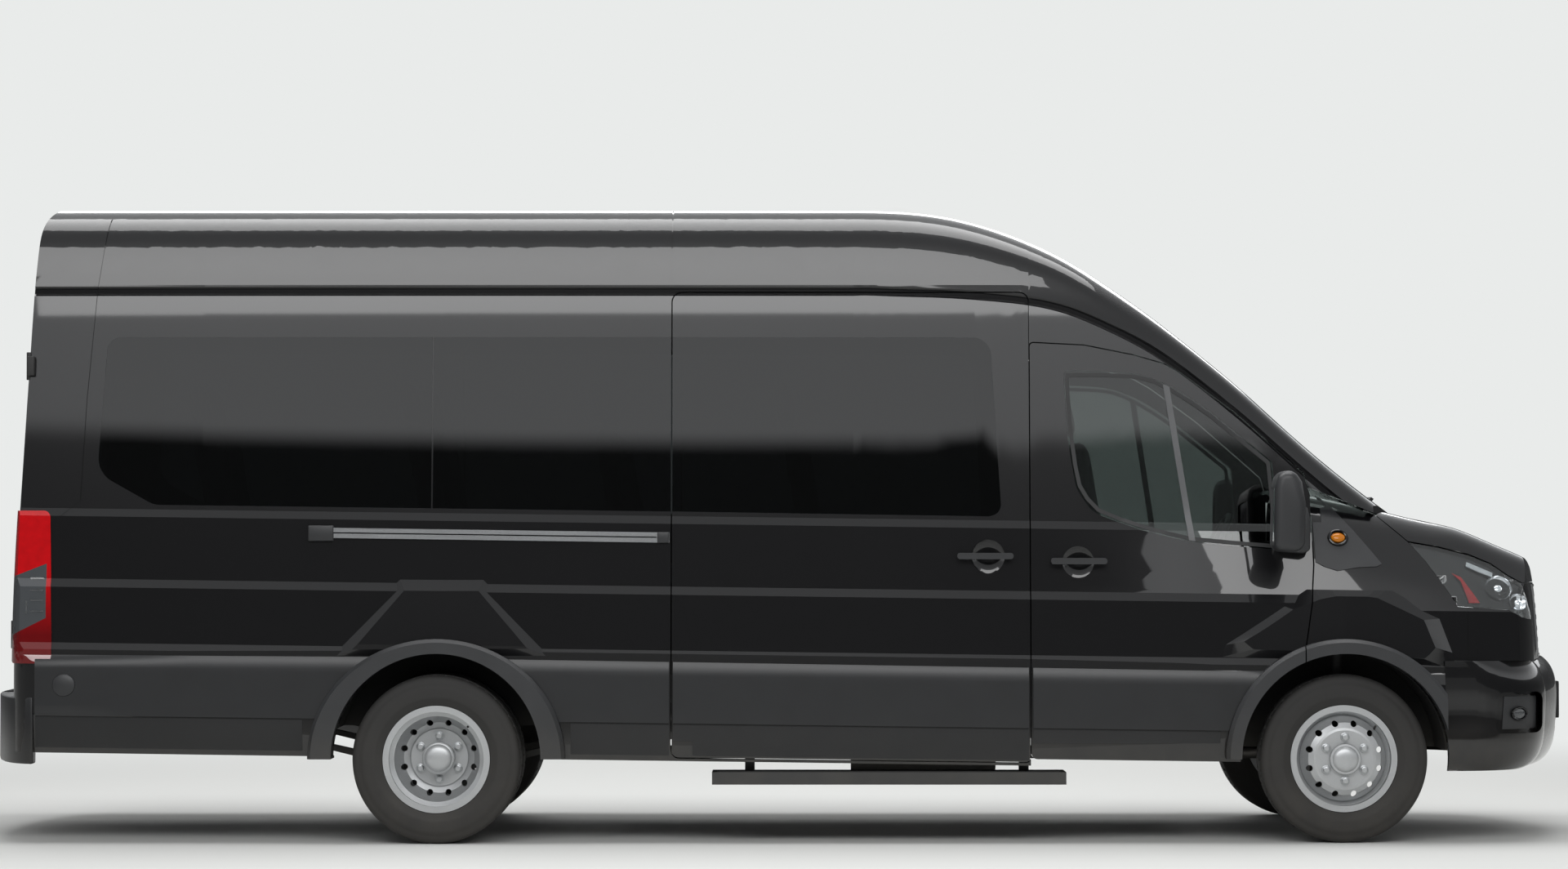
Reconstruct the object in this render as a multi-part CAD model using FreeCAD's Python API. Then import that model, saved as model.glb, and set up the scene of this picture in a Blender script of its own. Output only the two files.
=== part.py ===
# A long high-roof minibus with twin rear wheels, side sliding door and two rear doors.
# Frame: +X forward, +Y to the vehicle's left, +Z up; the origin is on the ground under
# the middle of the overall length. All sizes are in millimetres.
import FreeCAD
import Part

import math
import os

V = FreeCAD.Vector
X_AXIS = V(1, 0, 0)
Y_AXIS = V(0, 1, 0)
Z_AXIS = V(0, 0, 1)

# Overall layout
OVERALL_LENGTH = 6703.0
WHEELBASE = 3750.0
FRONT_OVERHANG = 1023.0
FRONT_X = OVERALL_LENGTH / 2
FRONT_AXLE_X = FRONT_X - FRONT_OVERHANG
REAR_AXLE_X = FRONT_AXLE_X - WHEELBASE
BODY_HALF_WIDTH = 1032.0
ROOF_TOP_Z = 2660.0

# Clearances
PANEL_GAP = 5.0
SEAT_GAP = 0.3
RUNNING_GAP = 0.4

# Walls
WALL = 60.0
GLASS = 6.0
REBATE = 35.0
NOSE_WALL = 40.0

# Wheels and tyres
TYRE_RADIUS = 348.0
TYRE_WIDTH = 195.0
TYRE_FLATS = 32
RIM_SEAT_RADIUS = 203.0
RIM_LIP_RADIUS = 221.0
RIM_WIDTH = 150.0
RIM_OFFSET = 109.5
RIM_SHEET = 7.0
DISC_SHEET = 10.0
VENT_HOLES = 12
VENT_HOLE_RADIUS = 13.0
VENT_CIRCLE = 149.0
STUD_COUNT = 6
STUD_CIRCLE = 90.0
HUB_CAP_RADIUS = 52.0
FRONT_TRACK_HALF = 868.0
REAR_MOUNT_Y = 821.0
STEER_Y = 850.0
SPINDLE_RADIUS = 30.0
RIGHT_WHEEL_TURN = 180.0 / STUD_COUNT

# Wheel arches: the openings' centres lie a little above the axles
ARCH_RISE = 4.0
ARCH_RADIUS = 432.0
FLARE_BAND = 60.0
FLARE_OUT_Y = 1058.0
REAR_FLARE_FOOT = 530.0
LINER_SHEET = 8.0
WELL_RADIUS = 452.0
WELL_SHEET = 12.0
WELL_INNER_Y = 562.0

# Floors, side members and toe board
LOAD_FLOOR_Z = 700.0
CAB_FLOOR_Z = 640.0
FLOOR_SHEET = 30.0
FLOOR_UNDER_Z = LOAD_FLOOR_Z - FLOOR_SHEET
CAB_RISER_X = 1040.0
CAB_FRONT_X = 1880.0
DASH_WALL_X = 2400.0
RAIL_Y = 400.0
RAIL_HALF = 40.0
RAIL_FRONT_Z = 600.0
RAIL_FRONT_UNDER_Z = 500.0
TOE_HALF = 540.0

# Side levels at x = 0; every level falls towards the front by RAKE
RAKE = 0.0131
SKIRT_Z = 335.0
SILL_Z = 498.0
BULGE_Z = 690.0
LEDGE_Z = 738.0
CREASE_Z = 790.0
SHOULDER_Z = 1054.0
BELT_Z = 1345.0
BELT_INSET = 75.0
TUMBLEHOME = 0.085
GUTTER_DEPTH = 10.0


def lerp_table(table, x):
    """Value at x on the straight runs between the (x, value) pairs."""
    if x <= table[0][0]:
        return table[0][1]
    for (x0, v0), (x1, v1) in zip(table, table[1:]):
        if x <= x1:
            return v0 + (v1 - v0) * (x - x0) / (x1 - x0)
    return table[-1][1]


# Centre line of the roof and windscreen
ROOF_LINE = [
    (300, ROOF_TOP_Z), (450, 2657), (600, 2646), (750, 2620), (900, 2577), (1050, 2519), (1200, 2445),
    (1361, 2342), (1538, 2217), (1756, 2046), (1974, 1861), (2192, 1660), (2432, 1466), (2700, 1270),
]
# Drop from the centre line to the gutter, and further forward to the windscreen pillar
CORNER_DROP = [
    (300, 352), (450, 351), (600, 344), (750, 325), (900, 294), (1050, 254), (1200, 217), (1350, 184),
    (1467, 158), (1676, 134), (2000, 126), (2432, 120),
]
# Half width at the ledge, and the extra lean of the glass house towards the windscreen
PLAN_LINE = [
    (-3300, 1008), (-2400, 1026), (-1400, BODY_HALF_WIDTH), (1000, BODY_HALF_WIDTH - 1),
    (1700, 1027), (2328, 1014), (2700, 992), (3300, 940),
]
GLASS_HOUSE_TAPER = [(900, 0), (1400, 12), (1900, 45), (2200, 64), (2700, 100)]
# Centre line of the bonnet
BONNET_LINE = [
    (2100, 1492), (2400, 1428), (2628, 1368), (2846, 1318), (3064, 1222), (3173, 1156), (3238, 1080), (3290, 960),
]


def level(z, x):
    """Height at x of a side line that lies at z at the middle of the vehicle."""
    return z - RAKE * x


def half_width(x):
    return lerp_table(PLAN_LINE, x)


def lean(z, x):
    """How far the side above the belt lies inside the widest plane."""
    return BELT_INSET + TUMBLEHOME * (z - level(BELT_Z, x)) + lerp_table(GLASS_HOUSE_TAPER, x)


def lower_flank(x):
    """(inset, z) pairs of the pressed flank from the skirt to the shoulder."""
    return [
        (34.0, level(SKIRT_Z, x)),
        (15.0, level(SILL_Z - 6, x)),
        (8.0, level(SILL_Z, x)),
        (0.0, level(BULGE_Z - 60, x)),
        (1.0, level(BULGE_Z, x)),
        (14.0, level(LEDGE_Z - 6, x)),
        (20.0, level(LEDGE_Z, x)),
        (20.0, level(CREASE_Z - 28, x)),
        (32.0, level(CREASE_Z, x)),
        (36.0, level(SHOULDER_Z - 34, x)),
        (52.0, level(SHOULDER_Z, x)),
    ]


def polyline_edges(points):
    return [Part.makeLine(a, b) for a, b in zip(points, points[1:])]


def spline_edge(points, parameters):
    curve = Part.BSplineCurve()
    curve.interpolate(Points=points, Parameters=parameters)
    return curve.toShape()


# How far along the crown's curve each of its points lies, from the gutter to the centre
CROWN_PACE = [0.0, 0.06, 0.12, 0.175, 0.27, 0.5]


def section_wire(x, right, crown):
    """Closed wire at x from the right flank's points, mirrored, and a crown spline over the top."""
    left = [V(p.x, -p.y, p.z) for p in reversed(right)]
    top = [right[-1]] + crown + [V(p.x, -p.y, p.z) for p in reversed(crown[:-1])] + [left[0]]
    edges = polyline_edges(right)
    edges.append(spline_edge(top, CROWN_PACE + [1 - t for t in reversed(CROWN_PACE[:-1])]))
    edges += polyline_edges(left)
    edges.append(Part.makeLine(left[-1], right[0]))
    return Part.Wire(edges)


def crown_points(x, inset, y_gutter, z_gutter, z_top):
    """Points over the roof or windscreen from just above the gutter to the centre line."""
    rise = z_top - z_gutter
    shape = [(0.36, 0.026), (0.70, 0.075), (0.885, 0.19), (0.965, 0.42)]
    points = [V(x, -(y_gutter * (1 - across)), z_gutter + rise * up) for up, across in shape]
    points.append(V(x, 0, z_top))
    return points


def cabin_section(x, inset=0.0, plain=False):
    """Section of the cabin at x, moved inwards by inset; plain leaves out the pressed lines."""
    w = half_width(x) - inset
    z_top = lerp_table(ROOF_LINE, x)
    z_gutter = z_top - lerp_table(CORNER_DROP, x)
    z_belt = min(level(BELT_Z, x), z_gutter - 30)
    gutter_in = lean(z_gutter, x)
    if plain:
        flank = [(34.0, SKIRT_Z - 200), (40.0, level(SHOULDER_Z, x))]
    else:
        flank = lower_flank(x)
        flank.append((lean(z_belt, x) - 16, z_belt - 32))
    flank.append((lean(z_belt, x), z_belt))
    if not plain:
        flank.append((gutter_in - 2, z_gutter - 40))
        flank.append((gutter_in + GUTTER_DEPTH, z_gutter - 30))
        flank.append((gutter_in + GUTTER_DEPTH, z_gutter - 12))
    flank.append((gutter_in, z_gutter))
    right = [V(x, -(w - i), z) for i, z in flank]
    if inset:
        right[-1].z -= inset * 0.3
    crown = crown_points(x, inset, w - gutter_in, right[-1].z, z_top - inset)
    return section_wire(x, right, crown)


CROWN_START_X = 300
REAR_STATIONS = [-3330, -2400, -1400, CROWN_START_X]
FRONT_STATIONS = [CROWN_START_X + 150 * i for i in range(17)]


def cabin_solid(inset=0.0, plain=False):
    """The whole cabin with its windscreen: straight runs to the rear, smooth curves in front."""
    rear = Part.makeLoft([cabin_section(x, inset, plain) for x in REAR_STATIONS], True, True)
    front = Part.makeLoft([cabin_section(x, inset, plain) for x in FRONT_STATIONS], True, False)
    return rear.fuse(front)


def nose_section(x, inset=0.0, plain=False):
    """Section of the front end at x: the same flank with the bonnet's crown over it."""
    w = half_width(x) - inset
    z_top = lerp_table(BONNET_LINE, x) - inset
    flank = [(34.0, SKIRT_Z - 200)] if plain else lower_flank(x)[:-2]
    flank.append((38.0, level(SHOULDER_Z, x) - 60))
    right = [V(x, -(w - i), z) for i, z in flank]
    base = right[-1].z
    rise = z_top - base
    taper = lerp_table(GLASS_HOUSE_TAPER, x)
    shape = [(0.33, 0.022 + taper * 0.0002), (0.62, 0.065 + taper * 0.0004), (0.85, 0.17), (0.955, 0.40)]
    wide = w - 38
    crown = [V(x, -wide * (1 - across), base + rise * up) for up, across in shape]
    crown.append(V(x, 0, z_top))
    return section_wire(x, right, crown)


NOSE_STATIONS = [2110 + 120 * i for i in range(11)]


def nose_solid(inset=0.0, plain=False):
    return Part.makeLoft([nose_section(x, inset, plain) for x in NOSE_STATIONS], True, False)


def plan_wire(z, end_x, corner, sagitta, half, far_x):
    """Plan outline at z: a bowed end at end_x with round corners, square at far_x."""
    s = 1 if end_x > far_x else -1
    side_x = end_x - s * (corner + sagitta)
    edge_x = end_x - s * sagitta
    k = corner * (1 - math.sqrt(0.5))
    a, b = V(far_x, -half, z), V(side_x, -half, z)
    c = V(edge_x, -(half - corner), z)
    m1 = V(edge_x - s * k, -(half - k), z)
    d, m2 = V(edge_x, half - corner, z), V(edge_x - s * k, half - k, z)
    e, f = V(side_x, half, z), V(far_x, half, z)
    return Part.Wire([
        Part.makeLine(a, b),
        Part.Arc(b, m1, c).toShape(),
        Part.Arc(c, V(end_x, 0, z), d).toShape(),
        Part.Arc(d, m2, e).toShape(),
        Part.makeLine(e, f),
        Part.makeLine(f, a),
    ])


# Rear end: the doors' plane leans forward and rounds into the roof
REAR_LINE = [
    (150, -3238), (800, -3232), (1400, -3208), (2000, -3172), (2400, -3146),
    (2520, -3132), (2590, -3108), (2640, -3066), (2668, -3006),
]
REAR_CORNER = 120.0
REAR_BOW = 48.0


def rear_form(inset=0.0):
    wires = [
        plan_wire(z - (inset if z > 2500 else 0), x + inset, REAR_CORNER, REAR_BOW, half_width(x) - 4 - inset, 2800)
        for z, x in REAR_LINE
    ]
    return Part.makeLoft(wires, True, False)


# Front end above the bumper
NOSE_LINE = [(150, 3262), (500, 3262), (740, 3266), (900, 3257), (1040, 3244), (1150, 3225), (1500, 3150)]
NOSE_CORNER = 300.0
NOSE_BOW = 110.0


def nose_form(inset=0.0):
    wires = [
        plan_wire(z, x - inset, NOSE_CORNER, NOSE_BOW, half_width(2600) - inset + 14, 1500) for z, x in NOSE_LINE
    ]
    return Part.makeLoft(wires, True, False)


def rounded_edges(points, to3d):
    """Closed edges through (u, v, radius) corners, each corner an arc of its radius."""
    n = len(points)
    legs = []
    for i in range(n):
        u, v, r = points[i]
        pu, pv = points[i - 1][:2]
        nu, nv = points[(i + 1) % n][:2]
        la, lb = math.hypot(pu - u, pv - v), math.hypot(nu - u, nv - v)
        ax, ay = (pu - u) / la, (pv - v) / la
        bx, by = (nu - u) / lb, (nv - v) / lb
        if r <= 0:
            legs.append(((u, v), None, (u, v)))
            continue
        half = math.acos(max(-1.0, min(1.0, ax * bx + ay * by))) / 2
        t = r / math.tan(half)
        mx, my = ax + bx, ay + by
        ml = math.hypot(mx, my)
        reach = r / math.sin(half) - r
        mid = (u + mx / ml * reach, v + my / ml * reach)
        legs.append(((u + ax * t, v + ay * t), mid, (u + bx * t, v + by * t)))
    edges = []
    for i in range(n):
        start, mid, end = legs[i]
        if mid:
            edges.append(Part.Arc(to3d(*start), to3d(*mid), to3d(*end)).toShape())
        nxt = legs[(i + 1) % n][0]
        if math.hypot(nxt[0] - end[0], nxt[1] - end[1]) > 1e-6:
            edges.append(Part.makeLine(to3d(*end), to3d(*nxt)))
    return edges


def side_wire(points, y):
    return Part.Wire(rounded_edges(points, lambda u, v: V(u, y, v)))


def side_prism(points, y0, y1, grow=0.0):
    """Prism across the vehicle from y0 to y1 of an outline in the side view."""
    wire = side_wire(points, y0)
    if grow:
        wire = wire.makeOffset2D(grow)
    return Part.Face(wire).extrude(V(0, y1 - y0, 0))


def front_prism(points, x0, x1, grow=0.0):
    """Prism along the vehicle from x0 to x1 of an outline in the front view."""
    wire = Part.Wire(rounded_edges(points, lambda u, v: V(x0, u, v)))
    if grow:
        wire = wire.makeOffset2D(grow)
    return Part.Face(wire).extrude(V(x1 - x0, 0, 0))


def box(x0, x1, y0, y1, z0, z1):
    return Part.makeBox(x1 - x0, y1 - y0, z1 - z0, V(x0, y0, z0))


def meeting_edge():
    """Wedge that sets the left rear door's meeting edge back, from just inside the skin inwards."""
    slope = REAR_DOOR_SLANT / WALL
    wires = []
    for z, x in REAR_LINE[:6]:
        corners = [(t, REAR_DOOR_EDGE + slope * (t - REAR_DOOR_LIP)) for t in (-10, WALL + 20)]
        corners += [(WALL + 20, -10), (-10, -10)]
        points = [V(x + t, y, z) for t, y in corners]
        wires.append(Part.makePolygon(points + points[:1]))
    return Part.makeLoft(wires, True, True)


def tube_y(x, z, r, y0, y1):
    """Cylinder about the vehicle's cross axis."""
    return Part.makeCylinder(r, y1 - y0, V(x, y0, z), Y_AXIS)


def fuse(shapes):
    first = shapes[0]
    return first.multiFuse(shapes[1:]).removeSplitter() if len(shapes) > 1 else first


def mirrored(shape):
    return shape.mirror(V(0, 0, 0), Y_AXIS)


def write(name, shape):
    """Write the solids of one subcomponent; loose edges and faces are left out."""
    solids = shape.Solids
    out = solids[0] if len(solids) == 1 else Part.makeCompound(solids)
    out.exportStep("parts/" + name + ".step")


# Outlines in the side view as (x, z, corner radius)
FRONT_DOOR_BACK_X = 1031.0
SEAM_X = 2158.0
DOOR_TOP = [
    (1259, 2061, 0), (1467, 2020, 0), (1592, 1984, 0), (1676, 1937, 0), (1883, 1785, 0),
    (2090, 1604, 0), (2172, 1531, 30), (2200, 1440, 0),
]
DOOR_FRONT = [(2205, 1150, 0), (2192, 990, 0), (SEAM_X, 770, 0)]
FRONT_GLASS = [
    (1172, 1960, 25), (1480, 1946, 400), (1620, 1898, 600), (1772, 1798, 800), (2043, 1578, 25),
    (2077, 1210, 20), (1704, 1242, 600), (1501, 1290, 500), (1290, 1365, 140), (1222, 1465, 140), (1190, 1662, 900),
]
SLIDER_BACK_X = -454.0
SLIDER_TOP_Z = 2281.0
REAR_PANE = [(-1449, 2095, 0), (-1449, 1383, 0), (-2600, 1398, 90), (-2836, 1530, 110), (-2800, 2095, 60)]
MIDDLE_PANE = [(-1443, 2095, 0), (SLIDER_BACK_X - 3, 2095, 0), (SLIDER_BACK_X - 3, 1370, 0), (-1443, 1383, 0)]
SLIDER_PANE = [(SLIDER_BACK_X + 3, 2095, 0), (868, 2093, 75), (914, 1349, 50), (SLIDER_BACK_X + 3, 1370, 0)]
# Windscreen pillar and bonnet lines in the side view
PILLAR_FOOT = [(2200, 1470), (2472, 1366), (2660, 1352)]
SHUT_LINE = [(2472, 1364), (2610, 1243)]
LAMP_TOP = [(2610, 1243), (2733, 1222), (2866, 1189), (2957, 1151), (3027, 1101), (3082, 1071)]
LAMP_FRONT = [(3137, 919), (3075, 930), (3011, 962)]
LAMP_BOTTOM = [(2802, 976), (2774, 1023), (2733, 1087), (2668, 1178)]
LENS_DEPTH = 18.0
BOWL_RADIUS = 110.0
BOWL_CENTRE = (2983, -990, 1058)

# Seam behind the last side window, from the roof to the tail lamp, as (x, z)
CORNER_SEAM = [(-2805, 2595), (-2845, 2302), (-2883, 1833), (-2889, 1711), (-2903, 1418), (-3004, 1334)]
ROOF_SEAM = [(SLIDER_BACK_X, 2700), (SLIDER_BACK_X, 2316)]
SEAM_WIDTH = 5.0

# Door handles on the side
FRONT_HANDLE_X = 1230.0
FRONT_HANDLE_Z = 1165.0
SLIDER_HANDLE_X = 855.0
SLIDER_HANDLE_Z = 1186.0

# Raised panels over the wheel arches as (x, z), at their proud face
REAR_BROW = [(-1800, 788), (-1552, 1032), (-1253, 1032), (-1005, 788)]
FRONT_BROW = [(1806, 782), (2030, 936), (2205, 990), (2340, 1008), (2484, 976), (2668, 872), (2700, 782)]

# Rear doors in the rear view as (y, z, corner radius); their meeting edges slant so that they pass
REAR_DOOR_EDGE = PANEL_GAP / 2
REAR_DOOR_SLANT = 16.0
REAR_DOOR_LIP = 2.5
REAR_DOOR = [
    (REAR_DOOR_EDGE, 745, 0), (868, 745, 15), (876, 1300, 0), (762, 2330, 60), (740, 2395, 60),
    (REAR_DOOR_EDGE, 2412, 0),
]
REAR_GLASS = [(60, 1420, 60), (800, 1420, 60), (722, 2120, 70), (60, 2120, 60)]


def wheel_discs(x, radius, y0, y1):
    """Pair of cylinders about the arch centre at x, one on each side of the vehicle."""
    z = TYRE_RADIUS + ARCH_RISE
    return tube_y(x, z, radius, -y1, -y0).fuse(tube_y(x, z, radius, y0, y1))


def arch_cut(x):
    """Cylinders that open both sides' wheel arches at x."""
    return wheel_discs(x, ARCH_RADIUS, 560, 1200)


def side_loop(points, grow=0.0):
    """Pair of prisms reaching in from both sides."""
    right = side_prism(points, -1300, -500, grow)
    return right, mirrored(right)


def front_door_outline():
    back = [(FRONT_DOOR_BACK_X + PANEL_GAP / 2, level(362, 1031), 25)]
    top = [(FRONT_DOOR_BACK_X + PANEL_GAP / 2, 2072, 15)]
    return back + top + DOOR_TOP + DOOR_FRONT + [(SEAM_X, level(362, 2158), 0)]


def slider_outline():
    b = SLIDER_BACK_X + PANEL_GAP / 2
    f = FRONT_DOOR_BACK_X - PANEL_GAP / 2
    return [(b, level(350, b), 30), (b, SLIDER_TOP_Z, 40), (f, SLIDER_TOP_Z, 40), (f, level(350, f), 20)]


# Section of a raised panel as (inset, z), closed on the inside of the skin
BROW_SECTION = [(8, 742), (8, 800), (26, 1050), (44, 1076), (200, 1076), (200, 742)]
BROW_EDGE = 80.0


def brow(outline, face_y, stations):
    """Raised panel over the right arch, its edges sloping down to the skin round the outline."""
    wires = []
    for x in stations:
        points = [V(x, -(half_width(x) - inset), level(z, x)) for inset, z in BROW_SECTION]
        wires.append(Part.makePolygon(points + points[:1]))
    slab = Part.makeLoft(wires, True, True)
    corners = [(x, z, 0) for x, z in outline]
    narrow = side_wire(corners, face_y - 50).makeOffset2D(-BROW_EDGE, 2)
    wide = side_wire(corners, face_y + 50).makeOffset2D(BROW_EDGE, 2)
    return slab.common(Part.makeLoft([narrow, wide], True, True))


def body_forms():
    """Outer and inner forms of cabin and nose."""
    front_brow = brow(FRONT_BROW, -1000, [1700, 2328, 2700, 2900])
    rear_brow = brow(REAR_BROW, -1014, [-2000, -1400, -800])
    outer = cabin_solid().common(rear_form())
    outer = outer.multiFuse([front_brow, mirrored(front_brow), rear_brow, mirrored(rear_brow)])
    inner = cabin_solid(WALL, True).common(rear_form(WALL))
    nose = nose_solid().common(nose_form())
    nose = nose.multiFuse([front_brow, mirrored(front_brow)])
    nose_inner = nose_solid(NOSE_WALL, True).common(nose_form(NOSE_WALL))
    return outer, inner, nose, nose_inner


def below_line(points, depth=0.0):
    """Side prism over the whole width of everything under a line, lowered by depth."""
    pts = [(x, z - depth, 0) for x, z in points]
    pts += [(points[-1][0], 0, 0), (points[0][0], 0, 0)]
    return side_prism(pts, -1300, 1300)


def above_line(points, raise_by=0.0):
    pts = [(x, z + raise_by, 0) for x, z in points]
    pts += [(points[-1][0], 3200, 0), (points[0][0], 3200, 0)]
    return side_prism(pts, -1300, 1300)


def seam_groove(skin, points):
    """The part of the skin in a narrow band along the points, seen from the side."""
    across, up = SEAM_WIDTH * 0.46, SEAM_WIDTH * 0.2
    band = [(x - across, z - up, 0) for x, z in points] + [(x + across, z + up, 0) for x, z in reversed(points)]
    return skin.common(side_prism(band, -1300, 1300))


def wheel_wells(cavity):
    """Pressed wells over the rear wheels, open at the sides and underneath."""
    well = wheel_discs(REAR_AXLE_X, WELL_RADIUS, WELL_INNER_Y, 962)
    well = well.cut(wheel_discs(REAR_AXLE_X, WELL_RADIUS - WELL_SHEET, WELL_INNER_Y + WELL_SHEET, 1000))
    well = well.cut(box(-2100, -800, -1000, 1000, -200, 470))
    return well.common(cavity).Solids


def behind_bonnet(shift):
    """Everything behind the bonnet's rear edge in plan, the edge moved by shift."""
    edge = [(2472, 1300), (2476, 800), (2560, 620), (2636, 300), (2650, 0)]
    edge += [(x, -y) for x, y in reversed(edge[:-1])]
    pts = [V(800, 1300, 0)] + [V(x + shift, y, 0) for x, y in edge] + [V(800, -1300, 0)]
    return Part.Face(Part.makePolygon(pts + pts[:1])).extrude(V(0, 0, 3000))


def floor_and_rails(cavity):
    """Load floor, cab floor and the two side members as one pressing."""
    riser_x = CAB_RISER_X + 20
    low = CAB_FLOOR_Z - FLOOR_SHEET
    parts = [
        box(-3170, riser_x, -1000, 1000, FLOOR_UNDER_Z, LOAD_FLOOR_Z).common(cavity),
        box(CAB_RISER_X, riser_x, -1000, 1000, low, LOAD_FLOOR_Z).common(cavity),
        box(CAB_RISER_X, CAB_FRONT_X, -1000, 1000, low, CAB_FLOOR_Z).common(cavity),
    ]
    rail = [
        (-3110, FLOOR_UNDER_Z - 110, 0), (-3110, FLOOR_UNDER_Z + 2, 0), (riser_x - 15, FLOOR_UNDER_Z + 2, 0),
        (riser_x, low + 2, 0), (CAB_FRONT_X - 2, low + 2, 0), (CAB_FRONT_X - 1, low - 4, 0), (2150, RAIL_FRONT_Z, 0),
        (3120, RAIL_FRONT_Z, 0), (3120, RAIL_FRONT_UNDER_Z, 0), (1900, RAIL_FRONT_UNDER_Z, 0),
        (1000, FLOOR_UNDER_Z - 110, 0),
    ]
    for y in (-RAIL_Y, RAIL_Y):
        parts.append(side_prism(rail, y - RAIL_HALF, y + RAIL_HALF))
    shape = fuse(parts)
    shape = shape.cut(wheel_discs(REAR_AXLE_X, WELL_RADIUS + SEAT_GAP, WELL_INNER_Y - SEAT_GAP, 1100))
    return shape.cut(wheel_discs(FRONT_AXLE_X, ARCH_RADIUS + 12, TOE_HALF + 6, 1100))


def firewall(cavity):
    """Toe board, dash wall and the shelves over the front wheelhouses as one pressing."""
    x0 = CAB_FRONT_X + SEAT_GAP
    low, shelf, sheet = CAB_FLOOR_Z - FLOOR_SHEET, 800.0, 12.0
    toe = [(x0, low, 0), (DASH_WALL_X, shelf, 0), (DASH_WALL_X, shelf + 30, 0), (x0, low + 32, 0)]
    cheek = [(x0, low, 0), (DASH_WALL_X, shelf, 0), (DASH_WALL_X, shelf + sheet, 0), (x0, shelf + sheet, 0)]
    parts = [
        side_prism(toe, -TOE_HALF, TOE_HALF),
        box(DASH_WALL_X, DASH_WALL_X + 20, -822, 822, shelf, 1290).common(cavity),
        box(DASH_WALL_X, DASH_WALL_X + 20, -TOE_HALF, TOE_HALF, RAIL_FRONT_Z + SEAT_GAP, shelf),
    ]
    for s in (-1, 1):
        y0, y1 = sorted((s * (TOE_HALF - sheet), s * 900))
        parts.append(box(x0, DASH_WALL_X + 20, y0, y1, shelf, shelf + sheet).common(cavity))
        parts.append(box(x0, x0 + sheet, y0, y1, low, shelf + sheet).common(cavity))
        y0, y1 = sorted((s * (TOE_HALF - sheet), s * TOE_HALF))
        parts.append(side_prism(cheek, y0, y1))
    return fuse(parts)


def front_liners():
    """Wheelhouse liners in front: a rolled sheet with an inner wall on each side."""
    r = ARCH_RADIUS + 1
    liner = wheel_discs(FRONT_AXLE_X, r + LINER_SHEET, 550, 880)
    liner = liner.cut(wheel_discs(FRONT_AXLE_X, r, 550 + LINER_SHEET, 1000))
    return liner.cut(box(1800, 2900, -1000, 1000, -300, 380)).Solids


def tyre(x, z, y_centre):
    """Carcass on its rim seat, rounded in flats so that it stays light; one flat stands on the ground."""
    w = TYRE_WIDTH / 2
    b = RIM_WIDTH / 2 - 1
    half = [
        (b, RIM_SEAT_RADIUS + SEAT_GAP), (b, RIM_LIP_RADIUS + 1), (w, RIM_LIP_RADIUS + 40), (w - 3, TYRE_RADIUS - 30),
        (w - 19, TYRE_RADIUS),
    ]
    profile = half + [(-t, r) for t, r in reversed(half)]
    step = 2 * math.pi / TYRE_FLATS
    rings = []
    for i in range(TYRE_FLATS + 1):
        a = (i % TYRE_FLATS + 0.5) * step
        to_corner = 1 / math.cos(step / 2)
        rings.append([V(x + r * to_corner * math.sin(a), y_centre + t, z - r * to_corner * math.cos(a))
                      for t, r in profile])
    faces = []
    for ring, after in zip(rings, rings[1:]):
        for k in range(len(profile)):
            a, b = ring[k - 1], ring[k]
            c, d = after[k], after[k - 1]
            faces.append(Part.Face(Part.makePolygon([a, b, c, d, a])))
    return Part.Solid(Part.Shell(faces))


def rim(x, z, y_centre, out):
    """Pressed steel wheel; out is +1 or -1, the side its disc bulges to."""
    h = RIM_WIDTH / 2
    s = RIM_SHEET
    seat, lip = RIM_SEAT_RADIUS, RIM_LIP_RADIUS
    o = RIM_OFFSET
    d = DISC_SHEET
    barrel = [
        (-h - s, lip), (-h, lip), (-h, seat), (-h + 22, seat), (-h + 34, 184), (h - 44, 184), (h - 30, seat), (h, seat),
        (h, lip), (h + s, lip), (h + s, seat - s), (h - 34, seat - s), (h - 48, 177), (-h + 38, 177),
        (-h + 26, seat - s), (-h - s, seat - s),
    ]
    disc = [
        (h - 60, 177.5), (h - 40, 177.5), (o - 14, 150), (o - 2, 128), (o, 118), (o, 80.5), (o - d, 80.5),
        (o - d, 118), (o - d - 5, 124), (o - 26, 146),
    ]
    def ring(profile):
        pts = [V(x, y_centre + out * t, z + r) for t, r in profile]
        pts.append(pts[0])
        return Part.Face(Part.makePolygon(pts)).revolve(V(x, 0, z), Y_AXIS, 360)
    y = y_centre + out * (o - 20)
    holes = []
    for i in range(VENT_HOLES):
        a = 2 * math.pi * (i + 0.5) / VENT_HOLES
        hx, hz = x + VENT_CIRCLE * math.cos(a), z + VENT_CIRCLE * math.sin(a)
        holes.append(tube_y(hx, hz, VENT_HOLE_RADIUS, y - 45, y + 45))
    return ring(barrel).fuse(ring(disc)).cut(Part.makeCompound(holes))


def right_wheel(left_wheel, x):
    """The left wheel mirrored and turned about its axle, as two wheels seldom park alike."""
    wheel = mirrored(left_wheel)
    wheel.rotate(V(x, 0, TYRE_RADIUS), Y_AXIS, RIGHT_WHEEL_TURN)
    return wheel


def studs(x, z, y0, y1, r):
    out = []
    for i in range(STUD_COUNT):
        a = 2 * math.pi * i / STUD_COUNT
        out.append(tube_y(x + STUD_CIRCLE * math.cos(a), z + STUD_CIRCLE * math.sin(a), r, y0, y1))
    return out


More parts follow.
